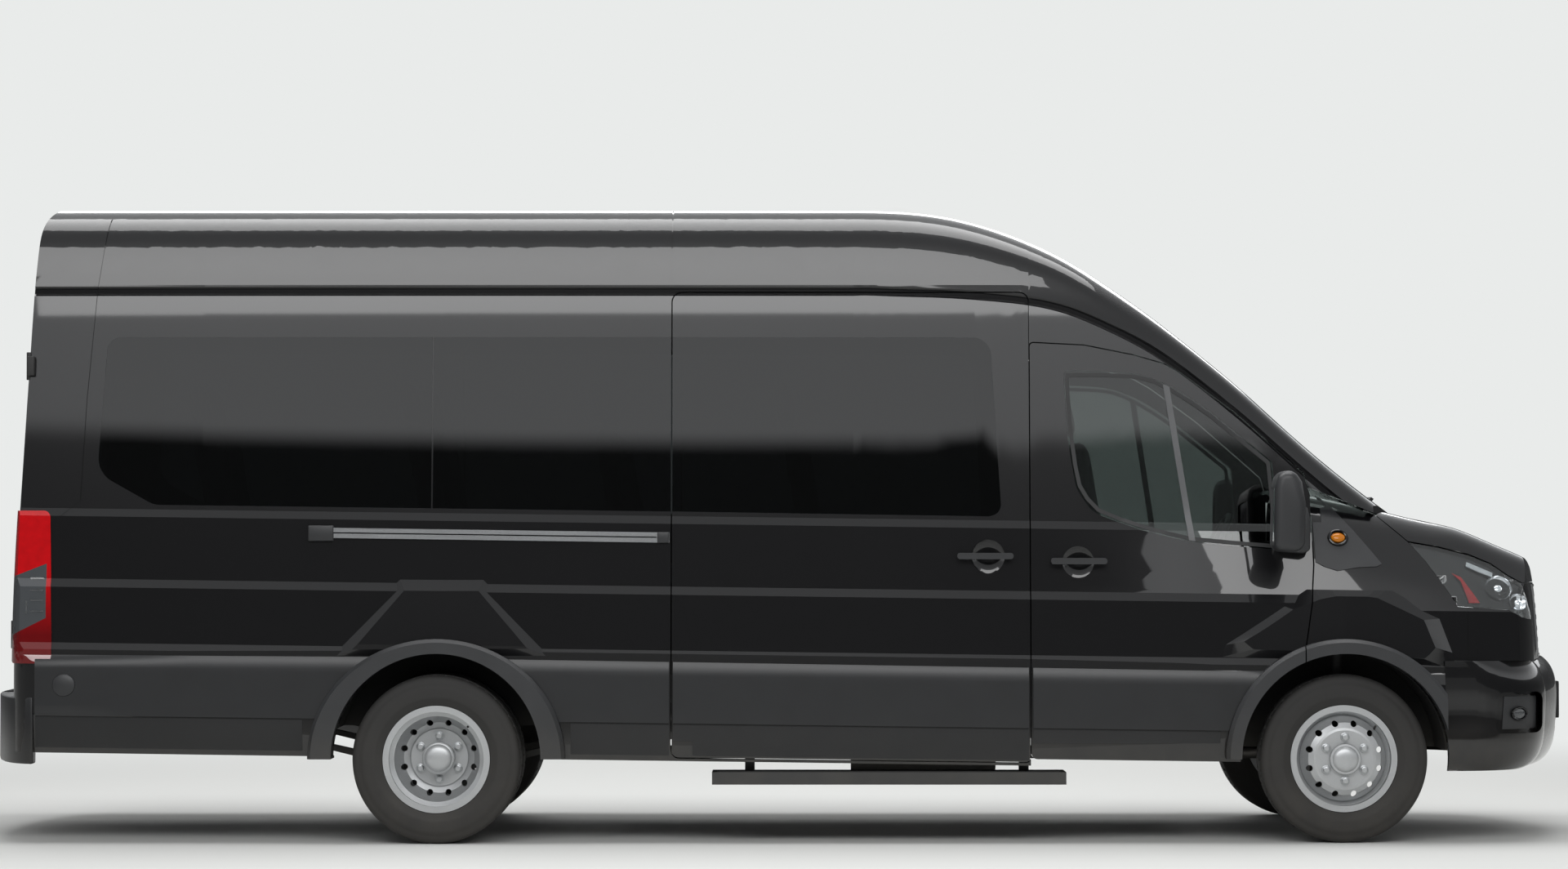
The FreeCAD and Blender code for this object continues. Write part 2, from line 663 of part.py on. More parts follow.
def front_wheel():
    """Left front rim with its hub, and the tyre, in the parked place."""
    x, z, y = FRONT_AXLE_X, TYRE_RADIUS, FRONT_TRACK_HALF
    wheel = rim(x, z, y, 1)
    face = y + RIM_OFFSET
    inner = face - DISC_SHEET
    hub = tube_y(x, z, 80.5, inner - 14, face).fuse(tube_y(x, z, 62, inner - 70, face + 18))
    hub = hub.fuse(tube_y(x, z, 100, inner - 14, inner))
    bore = tube_y(x, z, SPINDLE_RADIUS + RUNNING_GAP, inner - 80, face - 4)
    wheel = fuse([wheel, hub] + studs(x, z, inner - 14, face + 26, 9)).cut(bore)
    return wheel, tyre(x, z, y)


def knuckle():
    """Left steering knuckle: upright, spindle into the hub, kingpin ends and steering arm."""
    x, z, y = FRONT_AXLE_X, TYRE_RADIUS, STEER_Y
    hub_back = FRONT_TRACK_HALF + RIM_OFFSET - DISC_SHEET - 70
    upright = box(x - 38, x + 38, y - 30, y + 22, z - 88, z + 88)
    spindle = tube_y(x, z, SPINDLE_RADIUS, y, FRONT_TRACK_HALF + RIM_OFFSET - 8)
    collar = tube_y(x, z, 44, y, hub_back - 3)
    pin = Part.makeCylinder(14, 236, V(x, y, z - 118), Z_AXIS)
    arm = box(x - 130, x - 20, y - 28, y - 8, z - 60, z - 36)
    return fuse([upright, spindle, collar, pin, arm])


def suspension():
    """Front cross member, lower arms under the kingpins and struts above them."""
    x, z, y = FRONT_AXLE_X, TYRE_RADIUS, STEER_Y
    parts = [box(x - 90, x + 90, -530, 530, 232, 300)]
    for s in (-1, 1):
        arm = box(x - 26, x + 26, min(s * 500, s * y), max(s * 500, s * y), z - 116, z - 92)
        eye = Part.makeCylinder(26, 24, V(x, s * y, z - 116), Z_AXIS)
        hole = Part.makeCylinder(14 + RUNNING_GAP, 60, V(x, s * y, z - 130), Z_AXIS)
        parts.append(arm.fuse(eye).cut(hole))
        top = box(x - 26, x + 26, min(s * 690, s * y), max(s * 690, s * y), z + 92, z + 116)
        top = top.fuse(Part.makeCylinder(26, 24, V(x, s * y, z + 92), Z_AXIS))
        top = top.cut(Part.makeCylinder(14 + RUNNING_GAP, 60, V(x, s * y, z + 80), Z_AXIS))
        strut = Part.makeCylinder(24, ARCH_RADIUS + 4 - 92, V(x, s * 706, z + 92), Z_AXIS)
        parts.append(top.fuse(strut))
        y0, y1 = s * RAIL_Y - RAIL_HALF + 2, s * RAIL_Y + RAIL_HALF - 2
        parts.append(box(x - 60, x + 60, y0, y1, 298, RAIL_FRONT_UNDER_Z - SEAT_GAP))
    return fuse(parts)


def rear_wheels():
    """Left rear pair: two rims back to back on one hub, and their tyres."""
    x, z = REAR_AXLE_X, TYRE_RADIUS
    meet = REAR_MOUNT_Y + 4.5
    outer_y, inner_y = meet + RIM_OFFSET, meet - RIM_OFFSET
    rims = rim(x, z, outer_y, -1).fuse(rim(x, z, inner_y, 1))
    hub = tube_y(x, z, 80.5, meet - 60, meet + DISC_SHEET).fuse(tube_y(x, z, 66, meet - 80, meet + 78))
    hub = hub.fuse(tube_y(x, z, 100, meet - 24, meet - 10))
    bore = tube_y(x, z, 42 + RUNNING_GAP, meet - 100, meet + 50)
    rims = fuse([rims, hub] + studs(x, z, meet - 24, meet + 38, 9)).cut(bore)
    return rims, [tyre(x, z, outer_y), tyre(x, z, inner_y)]


def rear_axle():
    """Beam axle with its differential and a leaf spring stack on each side."""
    x, z = REAR_AXLE_X, TYRE_RADIUS
    tube = tube_y(x, z, 42, -REAR_MOUNT_Y - 40, REAR_MOUNT_Y + 40)
    housing = tube_y(x, z, 62, -660, 660)
    ball = Part.makeSphere(115, V(x, 0, z))
    nose = Part.makeCylinder(55, 120, V(x + 80, 0, z), X_AXIS)
    parts = [tube, housing, ball, nose]
    for s in (-1, 1):
        y0, y1 = s * 500 - 35, s * 500 + 35
        parts.append(side_prism([(x - 720, 422, 0), (x - 300, 318, 0), (x + 300, 318, 0), (x + 680, 422, 0),
                                 (x + 680, 440, 0), (x + 290, 345, 0), (x - 290, 345, 0), (x - 720, 440, 0)], y0, y1))
        parts.append(box(x - 70, x + 70, y0, y1, 280, 350))
    return fuse(parts)


def spring_hangers():
    """Hangers that carry the leaf springs on the side members."""
    x = REAR_AXLE_X
    out = []
    for s in (-1, 1):
        y0, y1 = sorted((s * (RAIL_Y + RAIL_HALF + SEAT_GAP), s * 535))
        for x0 in (x - 745, x + 655):
            out.append(box(x0, x0 + 50, y0, y1, 440 + SEAT_GAP, FLOOR_UNDER_Z - SEAT_GAP))
    return out


# Front bumper's centre line as (z, x), and the line of its hollow
BUMPER_LINE = [(297, 3250), (315, 3290), (380, 3332), (487, 3348), (617, FRONT_X), (713, 3326), (752, 3290)]
BUMPER_HOLLOW = [(200, 3240), (330, 3280), (487, 3346), (617, 3349), (713, 3320), (760, 3290)]
FOG_POCKET = [(2954, 452, 30), (3180, 452, 40), (3180, 622, 40), (2966, 622, 30)]


def bumper_form(inset):
    """The bumper's outside as a solid, moved inwards by inset."""
    half = half_width(2800) - 10 - inset
    wires = [plan_wire(z, x - inset, 330, 140, half - (20 if z < 330 else 0), 2500) for z, x in BUMPER_LINE]
    return Part.makeLoft(wires, True, False)


def front_bumper():
    """Deep bumper bowed in plan, hollow behind, with lamp pockets and a slotted lower intake."""
    outer = bumper_form(0)
    half = half_width(2800) - 55
    inner = Part.makeLoft([plan_wire(z, x - 45, 300, 130, half, 2400) for z, x in BUMPER_HOLLOW], True, False)
    shell = outer.cut(inner).cut(box(2400, 2744, -1200, 1200, 0, 1200)).cut(arch_cut(FRONT_AXLE_X))
    pockets = side_prism(FOG_POCKET, -1200, 1200).cut(box(2900, 3400, -600, 600, 400, 700))
    shell = shell.cut(pockets.cut(bumper_form(22)))
    slots = [box(3000, 3400, -330, 330, z, z + 34) for z in (400, 450, 500)]
    low, high = RAIL_FRONT_UNDER_Z + 10, RAIL_FRONT_Z - 10
    arms = [box(3120 + SEAT_GAP, 3275, y - 30, y + 30, low, high) for y in (-RAIL_Y, RAIL_Y)]
    return fuse([shell.cut(Part.makeCompound(slots))] + arms)


def rear_bumper(rear_outer):
    """Bumper with round corners and a stepped middle."""
    outer = Part.Face(plan_wire(328, -3351.5, 130, 40, 1008, -3085)).extrude(V(0, 0, 405))
    core = Part.Face(plan_wire(328, -3240, 60, 40, 930, -3000)).extrude(V(0, 0, 405))
    shape = outer.cut(core).cut(rear_outer)
    return shape.cut(box(-3400, -3100, -820, 820, 605, 800))


def flare_ring(x, sign, foot, skin):
    """Moulding round one arch: a band standing proud of the skin, foot its half length at the ground side."""
    z = TYRE_RADIUS + ARCH_RISE
    wires = []
    for y, less in ((900, 0), (FLARE_OUT_Y - 18, 0), (FLARE_OUT_Y, 14)):
        long, tall = foot - less, ARCH_RADIUS + FLARE_BAND - less
        oval = Part.Ellipse(V(x + long, sign * y, z), V(x, sign * y, z + tall), V(x, sign * y, z))
        wires.append(Part.Wire(oval.toShape()))
    ring = Part.makeLoft(wires, True, True).cut(wheel_discs(x, ARCH_RADIUS, 800, 1200))
    ring = ring.cut(box(x - 700, x + 700, -1200, 1200, -300, 350))
    return ring.cut(skin)


def flares(outer, nose):
    """Mouldings fixed to the body: both rear ones and the front ones ahead of the door seam."""
    parts = []
    foot = ARCH_RADIUS + FLARE_BAND + 2
    for sign in (-1, 1):
        parts += flare_ring(REAR_AXLE_X, sign, REAR_FLARE_FOOT, outer).Solids
        ring = flare_ring(FRONT_AXLE_X, sign, foot, outer).cut(nose)
        parts += ring.cut(box(1700, SEAM_X + PANEL_GAP, -1300, 1300, 0, 2000)).cut(
            box(2744, 3000, -1300, 1300, 0, 740)).Solids
    return [p for p in parts if p.Volume > 20000]


def door_flare(outer):
    """Rear end of the right front moulding, which rides on the door."""
    ring = flare_ring(FRONT_AXLE_X, -1, ARCH_RADIUS + FLARE_BAND + 2, outer)
    ring = ring.common(box(1700, SEAM_X, -1300, 0, 0, 2000))
    return max(ring.Solids, key=lambda s: s.Volume)


HANDLE_LENGTH = 232.0
DISH_RADIUS = 94.0
DISH_Y = -1038.0


def handle_dish(x, z):
    """Ball that presses the finger room into the skin behind a handle on the right side."""
    return Part.makeSphere(DISH_RADIUS, V(x, DISH_Y, z))


def door_handle(outer, x, z):
    """Pull handle on two feet, its middle at x and z on the right side."""
    h = HANDLE_LENGTH / 2
    corners = [(x - h, z - 13, 12), (x + h, z - 13, 12), (x + h, z + 13, 12), (x - h, z + 13, 12)]
    grip = side_prism(corners, -1022, -1000)
    feet = [box(x0, x0 + 24, -1002, -900, z - 11, z + 11) for x0 in (x - h + 6, x + h - 30)]
    return fuse([grip] + feet).cut(outer)


def slide_rail(outer):
    """Rail of the sliding door along the right side."""
    end = SLIDER_BACK_X - 8
    rail = side_prism([(-1951, 1262, 0), (-1951, 1304, 0), (end, 1283, 0), (end, 1241, 0)], -985, -900)
    return rail.cut(outer)


def side_step():
    """Step under the sliding door on the right side."""
    board = box(-285, 1176, -1012, -800, 244, 295)
    brackets = []
    for x in (-150, 990):
        hanger = box(x, x + 40, -840, -500, 295, FLOOR_UNDER_Z - SEAT_GAP)
        brackets.append(hanger.cut(box(x - 1, x + 41, -800, -490, 290, 600)))
    return fuse([board] + brackets)


LAMP_PROUD = 8.0
TAIL_LAMP = [(-3200, 760, 0), (-3200, 1374, 0), (-3025, 1374, 30), (-3012, 743, 30), (-3180, 743, 0)]


def tail_lamp(outer):
    """Tall lamp wrapped round the right rear corner, a little proud of the skin."""
    form = Part.makeLoft([cabin_section(x, -LAMP_PROUD) for x in (-3330, -2900)], True, True)
    form = form.common(side_prism(TAIL_LAMP, -1100, -905))
    return form.common(rear_form(-LAMP_PROUD)).cut(outer)


def mirror(outer):
    """Mirror head on three arms, fixed to the front corner of the right door."""
    head = side_prism([(2000, 1200, 40), (2012, 1520, 50), (2100, 1540, 40), (2135, 1400, 30), (2125, 1200, 40)],
                      -1320, -1110)
    base = side_prism([(2040, 1200, 0), (2060, 1370, 20), (2185, 1400, 20), (2195, 1190, 0)], -1000, -880)
    arms = [box(2080, 2110, -1130, -960, z, z + 22) for z in (1240, 1290, 1350)]
    shape = fuse([head, base] + arms)
    return shape.cut(outer)


def dashboard():
    panel = side_prism([(2080, 880, 30), (2100, 1180, 60), (2200, 1248, 40), (2399.5, 1248, 0), (2399.5, 900, 0)],
                       -780, 780)
    return panel


COLUMN_LEAN = 118.0


def steering_wheel():
    """Wheel and column in front of the driver on the left."""
    corners = [V(190 + 15 * math.cos(i * math.pi / 4), 0, 15 * math.sin(i * math.pi / 4)) for i in range(8)]
    ring = Part.Face(Part.makePolygon(corners + corners[:1])).revolve(V(0, 0, 0), Z_AXIS, 360)
    hub = Part.makeCylinder(48, 60, V(0, 0, -30))
    spokes = [Part.makeCylinder(11, 180, V(0, 0, 0), V(math.cos(a), math.sin(a), 0)) for a in (0.5, 2.64, 4.71)]
    column = Part.makeCylinder(26, 300, V(0, 0, 0))
    wheel = fuse([ring, hub, column] + spokes)
    wheel.rotate(V(0, 0, 0), Y_AXIS, COLUMN_LEAN)
    wheel.translate(V(1905, 430, 1190))
    return wheel.cut(dashboard())


def seat(x, y0, y1, floor_z, back=600.0, foot=None):
    """Seat facing forward: base, cushion, backrest and head restraint; x is the front of the cushion."""
    f0, f1 = foot or (y0 + 60, y1 - 60)
    base = box(x - 400, x - 90, f0, f1, floor_z, floor_z + 330)
    cushion = side_prism([(x - 470, floor_z + 330, 30), (x, floor_z + 330, 40), (x, floor_z + 455, 40),
                          (x - 470, floor_z + 430, 20)], y0, y1)
    rest = side_prism([(x - 400, floor_z + 400, 20), (x - 510, floor_z + 400, 20), (x - 620, floor_z + 440 + back, 40),
                       (x - 540, floor_z + 440 + back, 40)], y0, y1)
    n = max(1, round((y1 - y0) / 480))
    w = (y1 - y0) / n
    heads = []
    for i in range(n):
        yc = y0 + w * (i + 0.5)
        heads.append(side_prism([(x - 560, floor_z + 430 + back, 10), (x - 630, floor_z + 430 + back, 10),
                                 (x - 650, floor_z + 600 + back, 30), (x - 585, floor_z + 600 + back, 30)],
                                yc - 120, yc + 120))
    return fuse([base, cushion, rest] + heads)


def front_seats():
    floor_z = CAB_FLOOR_Z + SEAT_GAP
    return [seat(1800, 200, 690, floor_z), seat(1800, -845, 60, floor_z)]


def passenger_seats():
    rows = []
    floor_z = LOAD_FLOOR_Z + SEAT_GAP
    for x in (620, -170, -960):
        rows.append(seat(x, 60, 840, floor_z, foot=(120, 540)))
        rows.append(seat(x, -840, -430, floor_z, foot=(-540, -450)))
    rows.append(seat(-1900, -520, 520, floor_z))
    return rows


def engine():
    """Plain block for the engine and gearbox at their real place, and the radiator in front of it."""
    inner = RAIL_Y - RAIL_HALF - SEAT_GAP
    feet = box(2600, 2680, -inner, inner, 545, 585)
    block = fuse([box(2470, 3078, -280, 280, 520, 1080), box(2430, 2480, -180, 180, 540, 780), feet])
    return [block, box(3086, 3118, -RAIL_Y, RAIL_Y, RAIL_FRONT_Z + SEAT_GAP, 1000)]


def exhaust():
    pipe = Part.makeCylinder(28, 3350, V(-1000, -200, 340), X_AXIS)
    silencer = Part.makeCylinder(90, 620, V(300, -200, 340), X_AXIS)
    straps = [box(x, x + 20, -215, -185, 340, FLOOR_UNDER_Z - SEAT_GAP) for x in (-900, 400, 820)]
    return fuse([pipe, silencer] + straps)


def build():
    os.makedirs("parts", exist_ok=True)
    outer, inner, nose, nose_inner = body_forms()
    shell = outer.cut(inner)
    glass_inner = cabin_solid(GLASS).common(rear_form(GLASS))
    glass_skin = outer.cut(glass_inner)
    near = cabin_solid(WALL + SEAT_GAP, True).common(box(-3400, FRONT_DOOR_BACK_X - 12, -1300, 1300, 0, 3000))
    clear = cabin_solid(WALL + PANEL_GAP + 1, True).common(box(FRONT_DOOR_BACK_X - 12, 3000, -1300, 1300, 0, 3000))
    cavity = near.fuse(clear).common(rear_form(WALL + PANEL_GAP + 1))

    # Doors first: everything else is cut back from them
    door_prism_r, door_prism_l = side_loop(front_door_outline())
    door_gap_r, door_gap_l = side_loop(front_door_outline(), PANEL_GAP)
    front_hole, front_hole_l = side_loop(FRONT_GLASS)
    arches = arch_cut(FRONT_AXLE_X)
    rear_arches = arch_cut(REAR_AXLE_X)
    dish = handle_dish(FRONT_HANDLE_X, FRONT_HANDLE_Z)
    door_r = shell.common(door_prism_r).cut(arches).cut(front_hole).cut(dish)
    door_l = shell.common(door_prism_l).cut(arches).cut(front_hole_l).cut(mirrored(dish))
    write("front_door_right", door_r)
    write("front_door_left", door_l)
    pane_r, pane_l = side_loop(FRONT_GLASS, -SEAT_GAP)
    write("door_glass_right", glass_skin.common(pane_r))
    write("door_glass_left", glass_skin.common(pane_l))

    # Rear doors
    cut_x = (-3400, -3000)
    rear_l = shell.common(front_prism(REAR_DOOR, *cut_x)).cut(front_prism(REAR_GLASS, *cut_x))
    rear_pane = glass_skin.common(front_prism(REAR_GLASS, *cut_x, -SEAT_GAP))
    rear_l = Part.makeCompound(rear_l.cut(meeting_edge()).Solids)
    write("rear_door_left", rear_l)
    write("rear_door_right", mirrored(rear_l))
    write("rear_glass_left", rear_pane)
    write("rear_glass_right", mirrored(rear_pane))
    whole = [(-y, z, r) for y, z, r in reversed(REAR_DOOR[1:-1])]
    rear_gap = front_prism(whole + REAR_DOOR[1:-1] + [(0, 2412, 0)], *cut_x, PANEL_GAP)

    # Body sides, roof and pillars
    gutter = 2314.0
    seams = Part.makeCompound([seam_groove(glass_skin, CORNER_SEAM), seam_groove(glass_skin, ROOF_SEAM)])
    back = shell.common(box(-3400, FRONT_DOOR_BACK_X, -1300, 1300, 0, 3000)).cut(rear_gap)
    roof = back.common(box(-3400, 3400, -1300, 1300, gutter, 3000)).cut(seams)
    write("roof", roof)
    walls = back.common(box(-3400, 3400, -1300, 1300, 0, gutter)).cut(rear_arches).cut(seams)
    slider_gap = side_prism(slider_outline(), -1300, -500, PANEL_GAP)
    panes = [REAR_PANE, MIDDLE_PANE]
    holes = [side_prism(p, -1300, -500) for p in panes + [SLIDER_PANE]]
    right = walls.common(box(-3400, 3400, -1300, 0, 0, 3000)).cut(slider_gap)
    left = walls.common(box(-3400, 3400, 0, 1300, 0, 3000))
    for h in holes:
        left = left.cut(mirrored(h))
    for h in holes[:2]:
        right = right.cut(h)
    write("side_panel_right", right)
    write("side_panel_left", left)
    slider = shell.common(side_prism(slider_outline(), -1300, -500)).cut(holes[2])
    slider = slider.cut(handle_dish(SLIDER_HANDLE_X, SLIDER_HANDLE_Z))
    write("sliding_door", slider)
    side_glass = []
    for p in panes + [SLIDER_PANE]:
        pane = side_prism(p, -1300, -500, -SEAT_GAP)
        side_glass.append(glass_skin.common(pane))
        side_glass.append(glass_skin.common(mirrored(pane)))
    write("side_glass", Part.makeCompound([s for g in side_glass for s in g.Solids]))

    # Windscreen surround
    cap = shell.common(box(FRONT_DOOR_BACK_X, 2640, -1300, 1300, 1000, 3000))
    cap = cap.cut(door_gap_r).cut(door_gap_l)
    foot = [(FRONT_DOOR_BACK_X, 1480)] + PILLAR_FOOT
    cap = cap.common(above_line(foot))
    wide = Part.Face(Part.makePolygon([V(*p) for p in [
        (1225, -655, 0), (1225, 655, 0), (1700, 735, 0), (2200, 800, 0), (2440, 800, 0), (2530, 620, 0),
        (2600, 300, 0), (2615, 0, 0), (2600, -300, 0), (2530, -620, 0), (2440, -800, 0), (2200, -800, 0),
        (1700, -735, 0), (1225, -655, 0)]])).extrude(V(0, 0, 3000))
    cap = cap.cut(wide).common(behind_bonnet(-PANEL_GAP))
    write("windscreen_surround", cap)
    slim = wide.common(above_line(foot))
    write("windscreen", glass_skin.common(slim))

    # Front end cut from its own shell
    nose_shell = nose.cut(nose_inner)
    gap_r, gap_l = side_loop([(1700, 200, 0), (1700, 1600, 0)] + [(x + PANEL_GAP, z, 0) for x, z in (
        (2200, 1560), (2200, 1440), (2205, 1150), (2192, 990), (SEAM_X, 770), (SEAM_X, 200))])
    lamp = [(x, z, 0) for x, z in LAMP_TOP + LAMP_FRONT + LAMP_BOTTOM]
    lamp_side = side_prism(lamp, -1300, 1300)
    lamp_zone = lamp_side.cut(box(2500, 3400, -575, 575, 600, 1500))
    lamp_block = nose_shell.common(side_prism(lamp, -1300, 1300, -1.0).cut(box(2500, 3400, -576, 576, 600, 1500)))
    lamp_floor = nose_solid(LENS_DEPTH).common(nose_form(LENS_DEPTH))
    write("headlamps", lamp_block.cut(lamp_floor))
    bowl = Part.makeSphere(BOWL_RADIUS, V(*BOWL_CENTRE))
    write("headlamp_housings", lamp_block.common(lamp_floor).cut(Part.makeCompound([bowl, mirrored(bowl)])))
    bonnet_line = [(2440, 1392)] + SHUT_LINE + LAMP_TOP[1:] + [(3300, 1071)]
    bonnet = nose_shell.common(above_line(bonnet_line, PANEL_GAP))
    bonnet = bonnet.cut(behind_bonnet(0))
    write("bonnet", bonnet)
    lower = nose_shell.cut(above_line(bonnet_line)).cut(lamp_zone).cut(gap_r).cut(gap_l).cut(arches)
    lower = lower.cut(above_line([(2100, 1466), (2200, 1464), (2472, 1360), (2660, 1346), (3300, 1346)]))
    fenders = lower.cut(box(2844, 3400, -1300, 1300, 0, 1500)).cut(box(2744, 3400, -1300, 1300, 0, 752))
    fenders = fenders.cut(box(2000, 2844, -1300, 1300, 0, 320))
    write("fenders", fenders)
    face = lower.common(box(2844.5, 3400, -1300, 1300, 752.3, 1071))
    slots = [box(3000, 3400, y, y + 470, z, z + 30) for y in (-490, 20) for z in range(790, 1030, 48)]
    write("grille", face.common(box(2844, 3400, -560, 560, 700, 1500)).cut(Part.makeCompound(slots)))
    write("front_panel", face.cut(box(2844, 3400, -560.5, 560.5, 700, 1500)))
    write("front_bumper", front_bumper())

    # Underbody, wheelhouses and the parts hung from them
    write("underbody", floor_and_rails(cavity))
    write("firewall", firewall(cavity))
    write("arch_liners", Part.makeCompound(front_liners() + wheel_wells(cavity)))
    write("front_suspension", suspension())
    k = knuckle()
    write("knuckle_left", k)
    write("knuckle_right", mirrored(k))
    wheel, front_tyre = front_wheel()
    write("rim_front_left", wheel)
    write("rim_front_right", right_wheel(wheel, FRONT_AXLE_X))
    write("tyre_front_left", front_tyre)
    write("tyre_front_right", mirrored(front_tyre))
    rims, tyres = rear_wheels()
    write("rims_rear_left", rims)
    write("rims_rear_right", right_wheel(rims, REAR_AXLE_X))
    write("tyres_rear_left", Part.makeCompound(tyres))
    write("tyres_rear_right", mirrored(Part.makeCompound(tyres)))
    write("rear_axle", fuse([rear_axle()] + spring_hangers()))
    write("rear_bumper", rear_bumper(outer))
    write("arch_flares", Part.makeCompound(flares(outer, nose)))
    trim = door_flare(outer)
    write("door_flare_right", trim)
    write("door_flare_left", mirrored(trim))
    handle = door_handle(outer, FRONT_HANDLE_X, FRONT_HANDLE_Z)
    write("door_handle_right", handle)
    write("door_handle_left", mirrored(handle))
    write("slider_handle", door_handle(outer, SLIDER_HANDLE_X - 12, SLIDER_HANDLE_Z))
    write("slide_rail", slide_rail(outer))
    write("side_step", side_step())
    lamps = tail_lamp(outer)
    write("tail_lamps", Part.makeCompound([lamps, mirrored(lamps)]))
    m = mirror(outer)
    write("mirror_right", m)
    write("mirror_left", mirrored(m))
    write("dashboard", dashboard())
    write("steering_wheel", steering_wheel())
    write("front_seats", Part.makeCompound(front_seats()))
    write("passenger_seats", Part.makeCompound(passenger_seats()))
    write("engine", Part.makeCompound(engine()))
    write("fuel_tank", box(-400, 600, 470, 800, 330, FLOOR_UNDER_Z - SEAT_GAP))
    write("exhaust", exhaust())


build()
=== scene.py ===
# %% [markdown]
# # A black high-roof minibus
# The vehicle's panels, doors, wheels and chassis come in as a fixed frame. This file gives each
# of them its finish, and models what a frame of plain solids can't show: tyre tread, lamps,
# mirrors, trims, seats and the small fittings.

import math

import bmesh
import bpy
import mathutils
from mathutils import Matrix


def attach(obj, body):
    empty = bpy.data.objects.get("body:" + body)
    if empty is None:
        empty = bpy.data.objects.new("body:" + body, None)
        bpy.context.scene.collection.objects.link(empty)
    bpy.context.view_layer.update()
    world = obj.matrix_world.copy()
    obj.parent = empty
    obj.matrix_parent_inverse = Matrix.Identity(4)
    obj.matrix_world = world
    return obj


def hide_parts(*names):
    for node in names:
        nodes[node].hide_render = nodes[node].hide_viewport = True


Vector = mathutils.Vector
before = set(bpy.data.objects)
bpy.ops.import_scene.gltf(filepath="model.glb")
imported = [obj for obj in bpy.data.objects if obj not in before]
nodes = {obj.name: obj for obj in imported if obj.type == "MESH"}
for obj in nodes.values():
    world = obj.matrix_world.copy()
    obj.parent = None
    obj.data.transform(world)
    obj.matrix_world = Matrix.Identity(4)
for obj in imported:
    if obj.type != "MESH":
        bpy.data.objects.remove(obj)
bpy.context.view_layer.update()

# %% [markdown]
# ## The camera
# The vehicle was photographed from its right side with a long lens, from about 19 m away and
# at chest height. The lens was tilted up a little, so the camera is turned and not shifted.

# %% Camera
LENS_PIXELS = 5342.0
IMAGE_WIDTH = 1920.0
CAMERA_AT = (0.012, -19.022, 1.256)
CAMERA_TILT_UP = 1.373

camera_data = bpy.data.cameras.new("camera")
camera_data.sensor_width = 36.0
camera_data.lens = 36.0 * LENS_PIXELS / IMAGE_WIDTH
camera_data.clip_end = 400.0
camera = bpy.data.objects.new("camera", camera_data)
bpy.context.collection.objects.link(camera)
camera.location = CAMERA_AT
camera.rotation_euler = (math.radians(90.0 + CAMERA_TILT_UP), 0.0, 0.0)
bpy.context.scene.camera = camera
bpy.context.scene.view_settings.view_transform = "Standard"

# %% [markdown]
# ## Colours and shader nodes
# Colours are written as the hex values that a designer would pick. Shaders work in linear
# light, so one function turns them. One more function adds a shader node with its settings.


# %% Colour and node helpers
def linear(hexadecimal, alpha=1.0):
    """sRGB hex colour to the linear values that shaders use."""
    values = [int(hexadecimal[i:i + 2], 16) / 255.0 for i in (1, 3, 5)]
    return tuple(v / 12.92 if v <= 0.04045 else ((v + 0.055) / 1.055) ** 2.4 for v in values) + (alpha,)


def feed(tree, node, inputs):
    """Gives a shader node its inputs; each is a value or another node's socket."""
    for socket, value in inputs.items():
        if isinstance(value, bpy.types.NodeSocket):
            tree.links.new(value, node.inputs[socket])
        else:
            node.inputs[socket].default_value = value


def add(tree, kind, inputs=None, **settings):
    """Adds one shader node with its settings and inputs."""
    made = tree.nodes.new(kind)
    for name, value in settings.items():
        setattr(made, name, value)
    feed(tree, made, inputs or {})
    return made


def new_material(name, inputs=None):
    """Material with one shader and what is even in it; returns the material, its tree and shader."""
    made = bpy.data.materials.new(name)
    made.use_nodes = True
    shader = made.node_tree.nodes["Principled BSDF"]
    feed(made.node_tree, shader, inputs or {})
    return made, made.node_tree, shader


def place_on(tree, scale):
    """Object coordinates in pattern cells; scale is cells per metre, one number or one for each axis."""
    where = add(tree, "ShaderNodeTexCoord")
    scale = scale if isinstance(scale, tuple) else (scale,) * 3
    return add(tree, "ShaderNodeMapping", {"Vector": where.outputs["Object"], "Scale": scale}).outputs["Vector"]


def fine_bump(tree, shader, height, strength, distance):
    """Joins a height pattern to the shader's normal."""
    bump = add(tree, "ShaderNodeBump", {"Height": height, "Strength": strength, "Distance": distance})
    tree.links.new(bump.outputs["Normal"], shader.inputs["Normal"])


# %% [markdown]
# ## Room and light
# A pale floor that fades into a pale backdrop, a white room that only rays see, and large soft
# lamps overhead and at both sides. Gloss black shows nothing of its own, only what it reflects, so
# the room has a darker band near the horizon, as walls have below a lit ceiling.

# %% Floor
FLOOR_SIZE = 90.0
BACKGROUND = linear("#e9ebea")
FADE_FROM = 4.6
FADE_TO = 10.0
bpy.ops.object.select_all(action="DESELECT")
bpy.ops.mesh.primitive_plane_add(size=FLOOR_SIZE, location=(0.0, 0.0, 0.0))
floor = bpy.context.object
floor.name = "studio_floor"
floor_paint, tree, shader = new_material("matt_studio_floor", {
    "Base Color": linear("#d9dad8"), "Roughness": 0.85, "Specular IOR Level": 0.15,
})
spot = add(tree, "ShaderNodeTexCoord")
reach = add(tree, "ShaderNodeVectorMath", {0: spot.outputs["Object"]}, operation="LENGTH")
fade = add(tree, "ShaderNodeMapRange", {
    "Value": reach.outputs["Value"], "From Min": FADE_FROM, "From Max": FADE_TO,
}, interpolation_type="SMOOTHSTEP")
eye = add(tree, "ShaderNodeLightPath")
seen_far = add(tree, "ShaderNodeMath", {
    0: fade.outputs["Result"], 1: eye.outputs["Is Camera Ray"],
}, operation="MULTIPLY")
glow = add(tree, "ShaderNodeEmission", {"Color": BACKGROUND})
surface = add(tree, "ShaderNodeMixShader", {
    "Fac": seen_far.outputs["Value"], 1: shader.outputs["BSDF"], 2: glow.outputs["Emission"],
})
feed(tree, tree.nodes["Material Output"], {"Surface": surface.outputs["Shader"]})
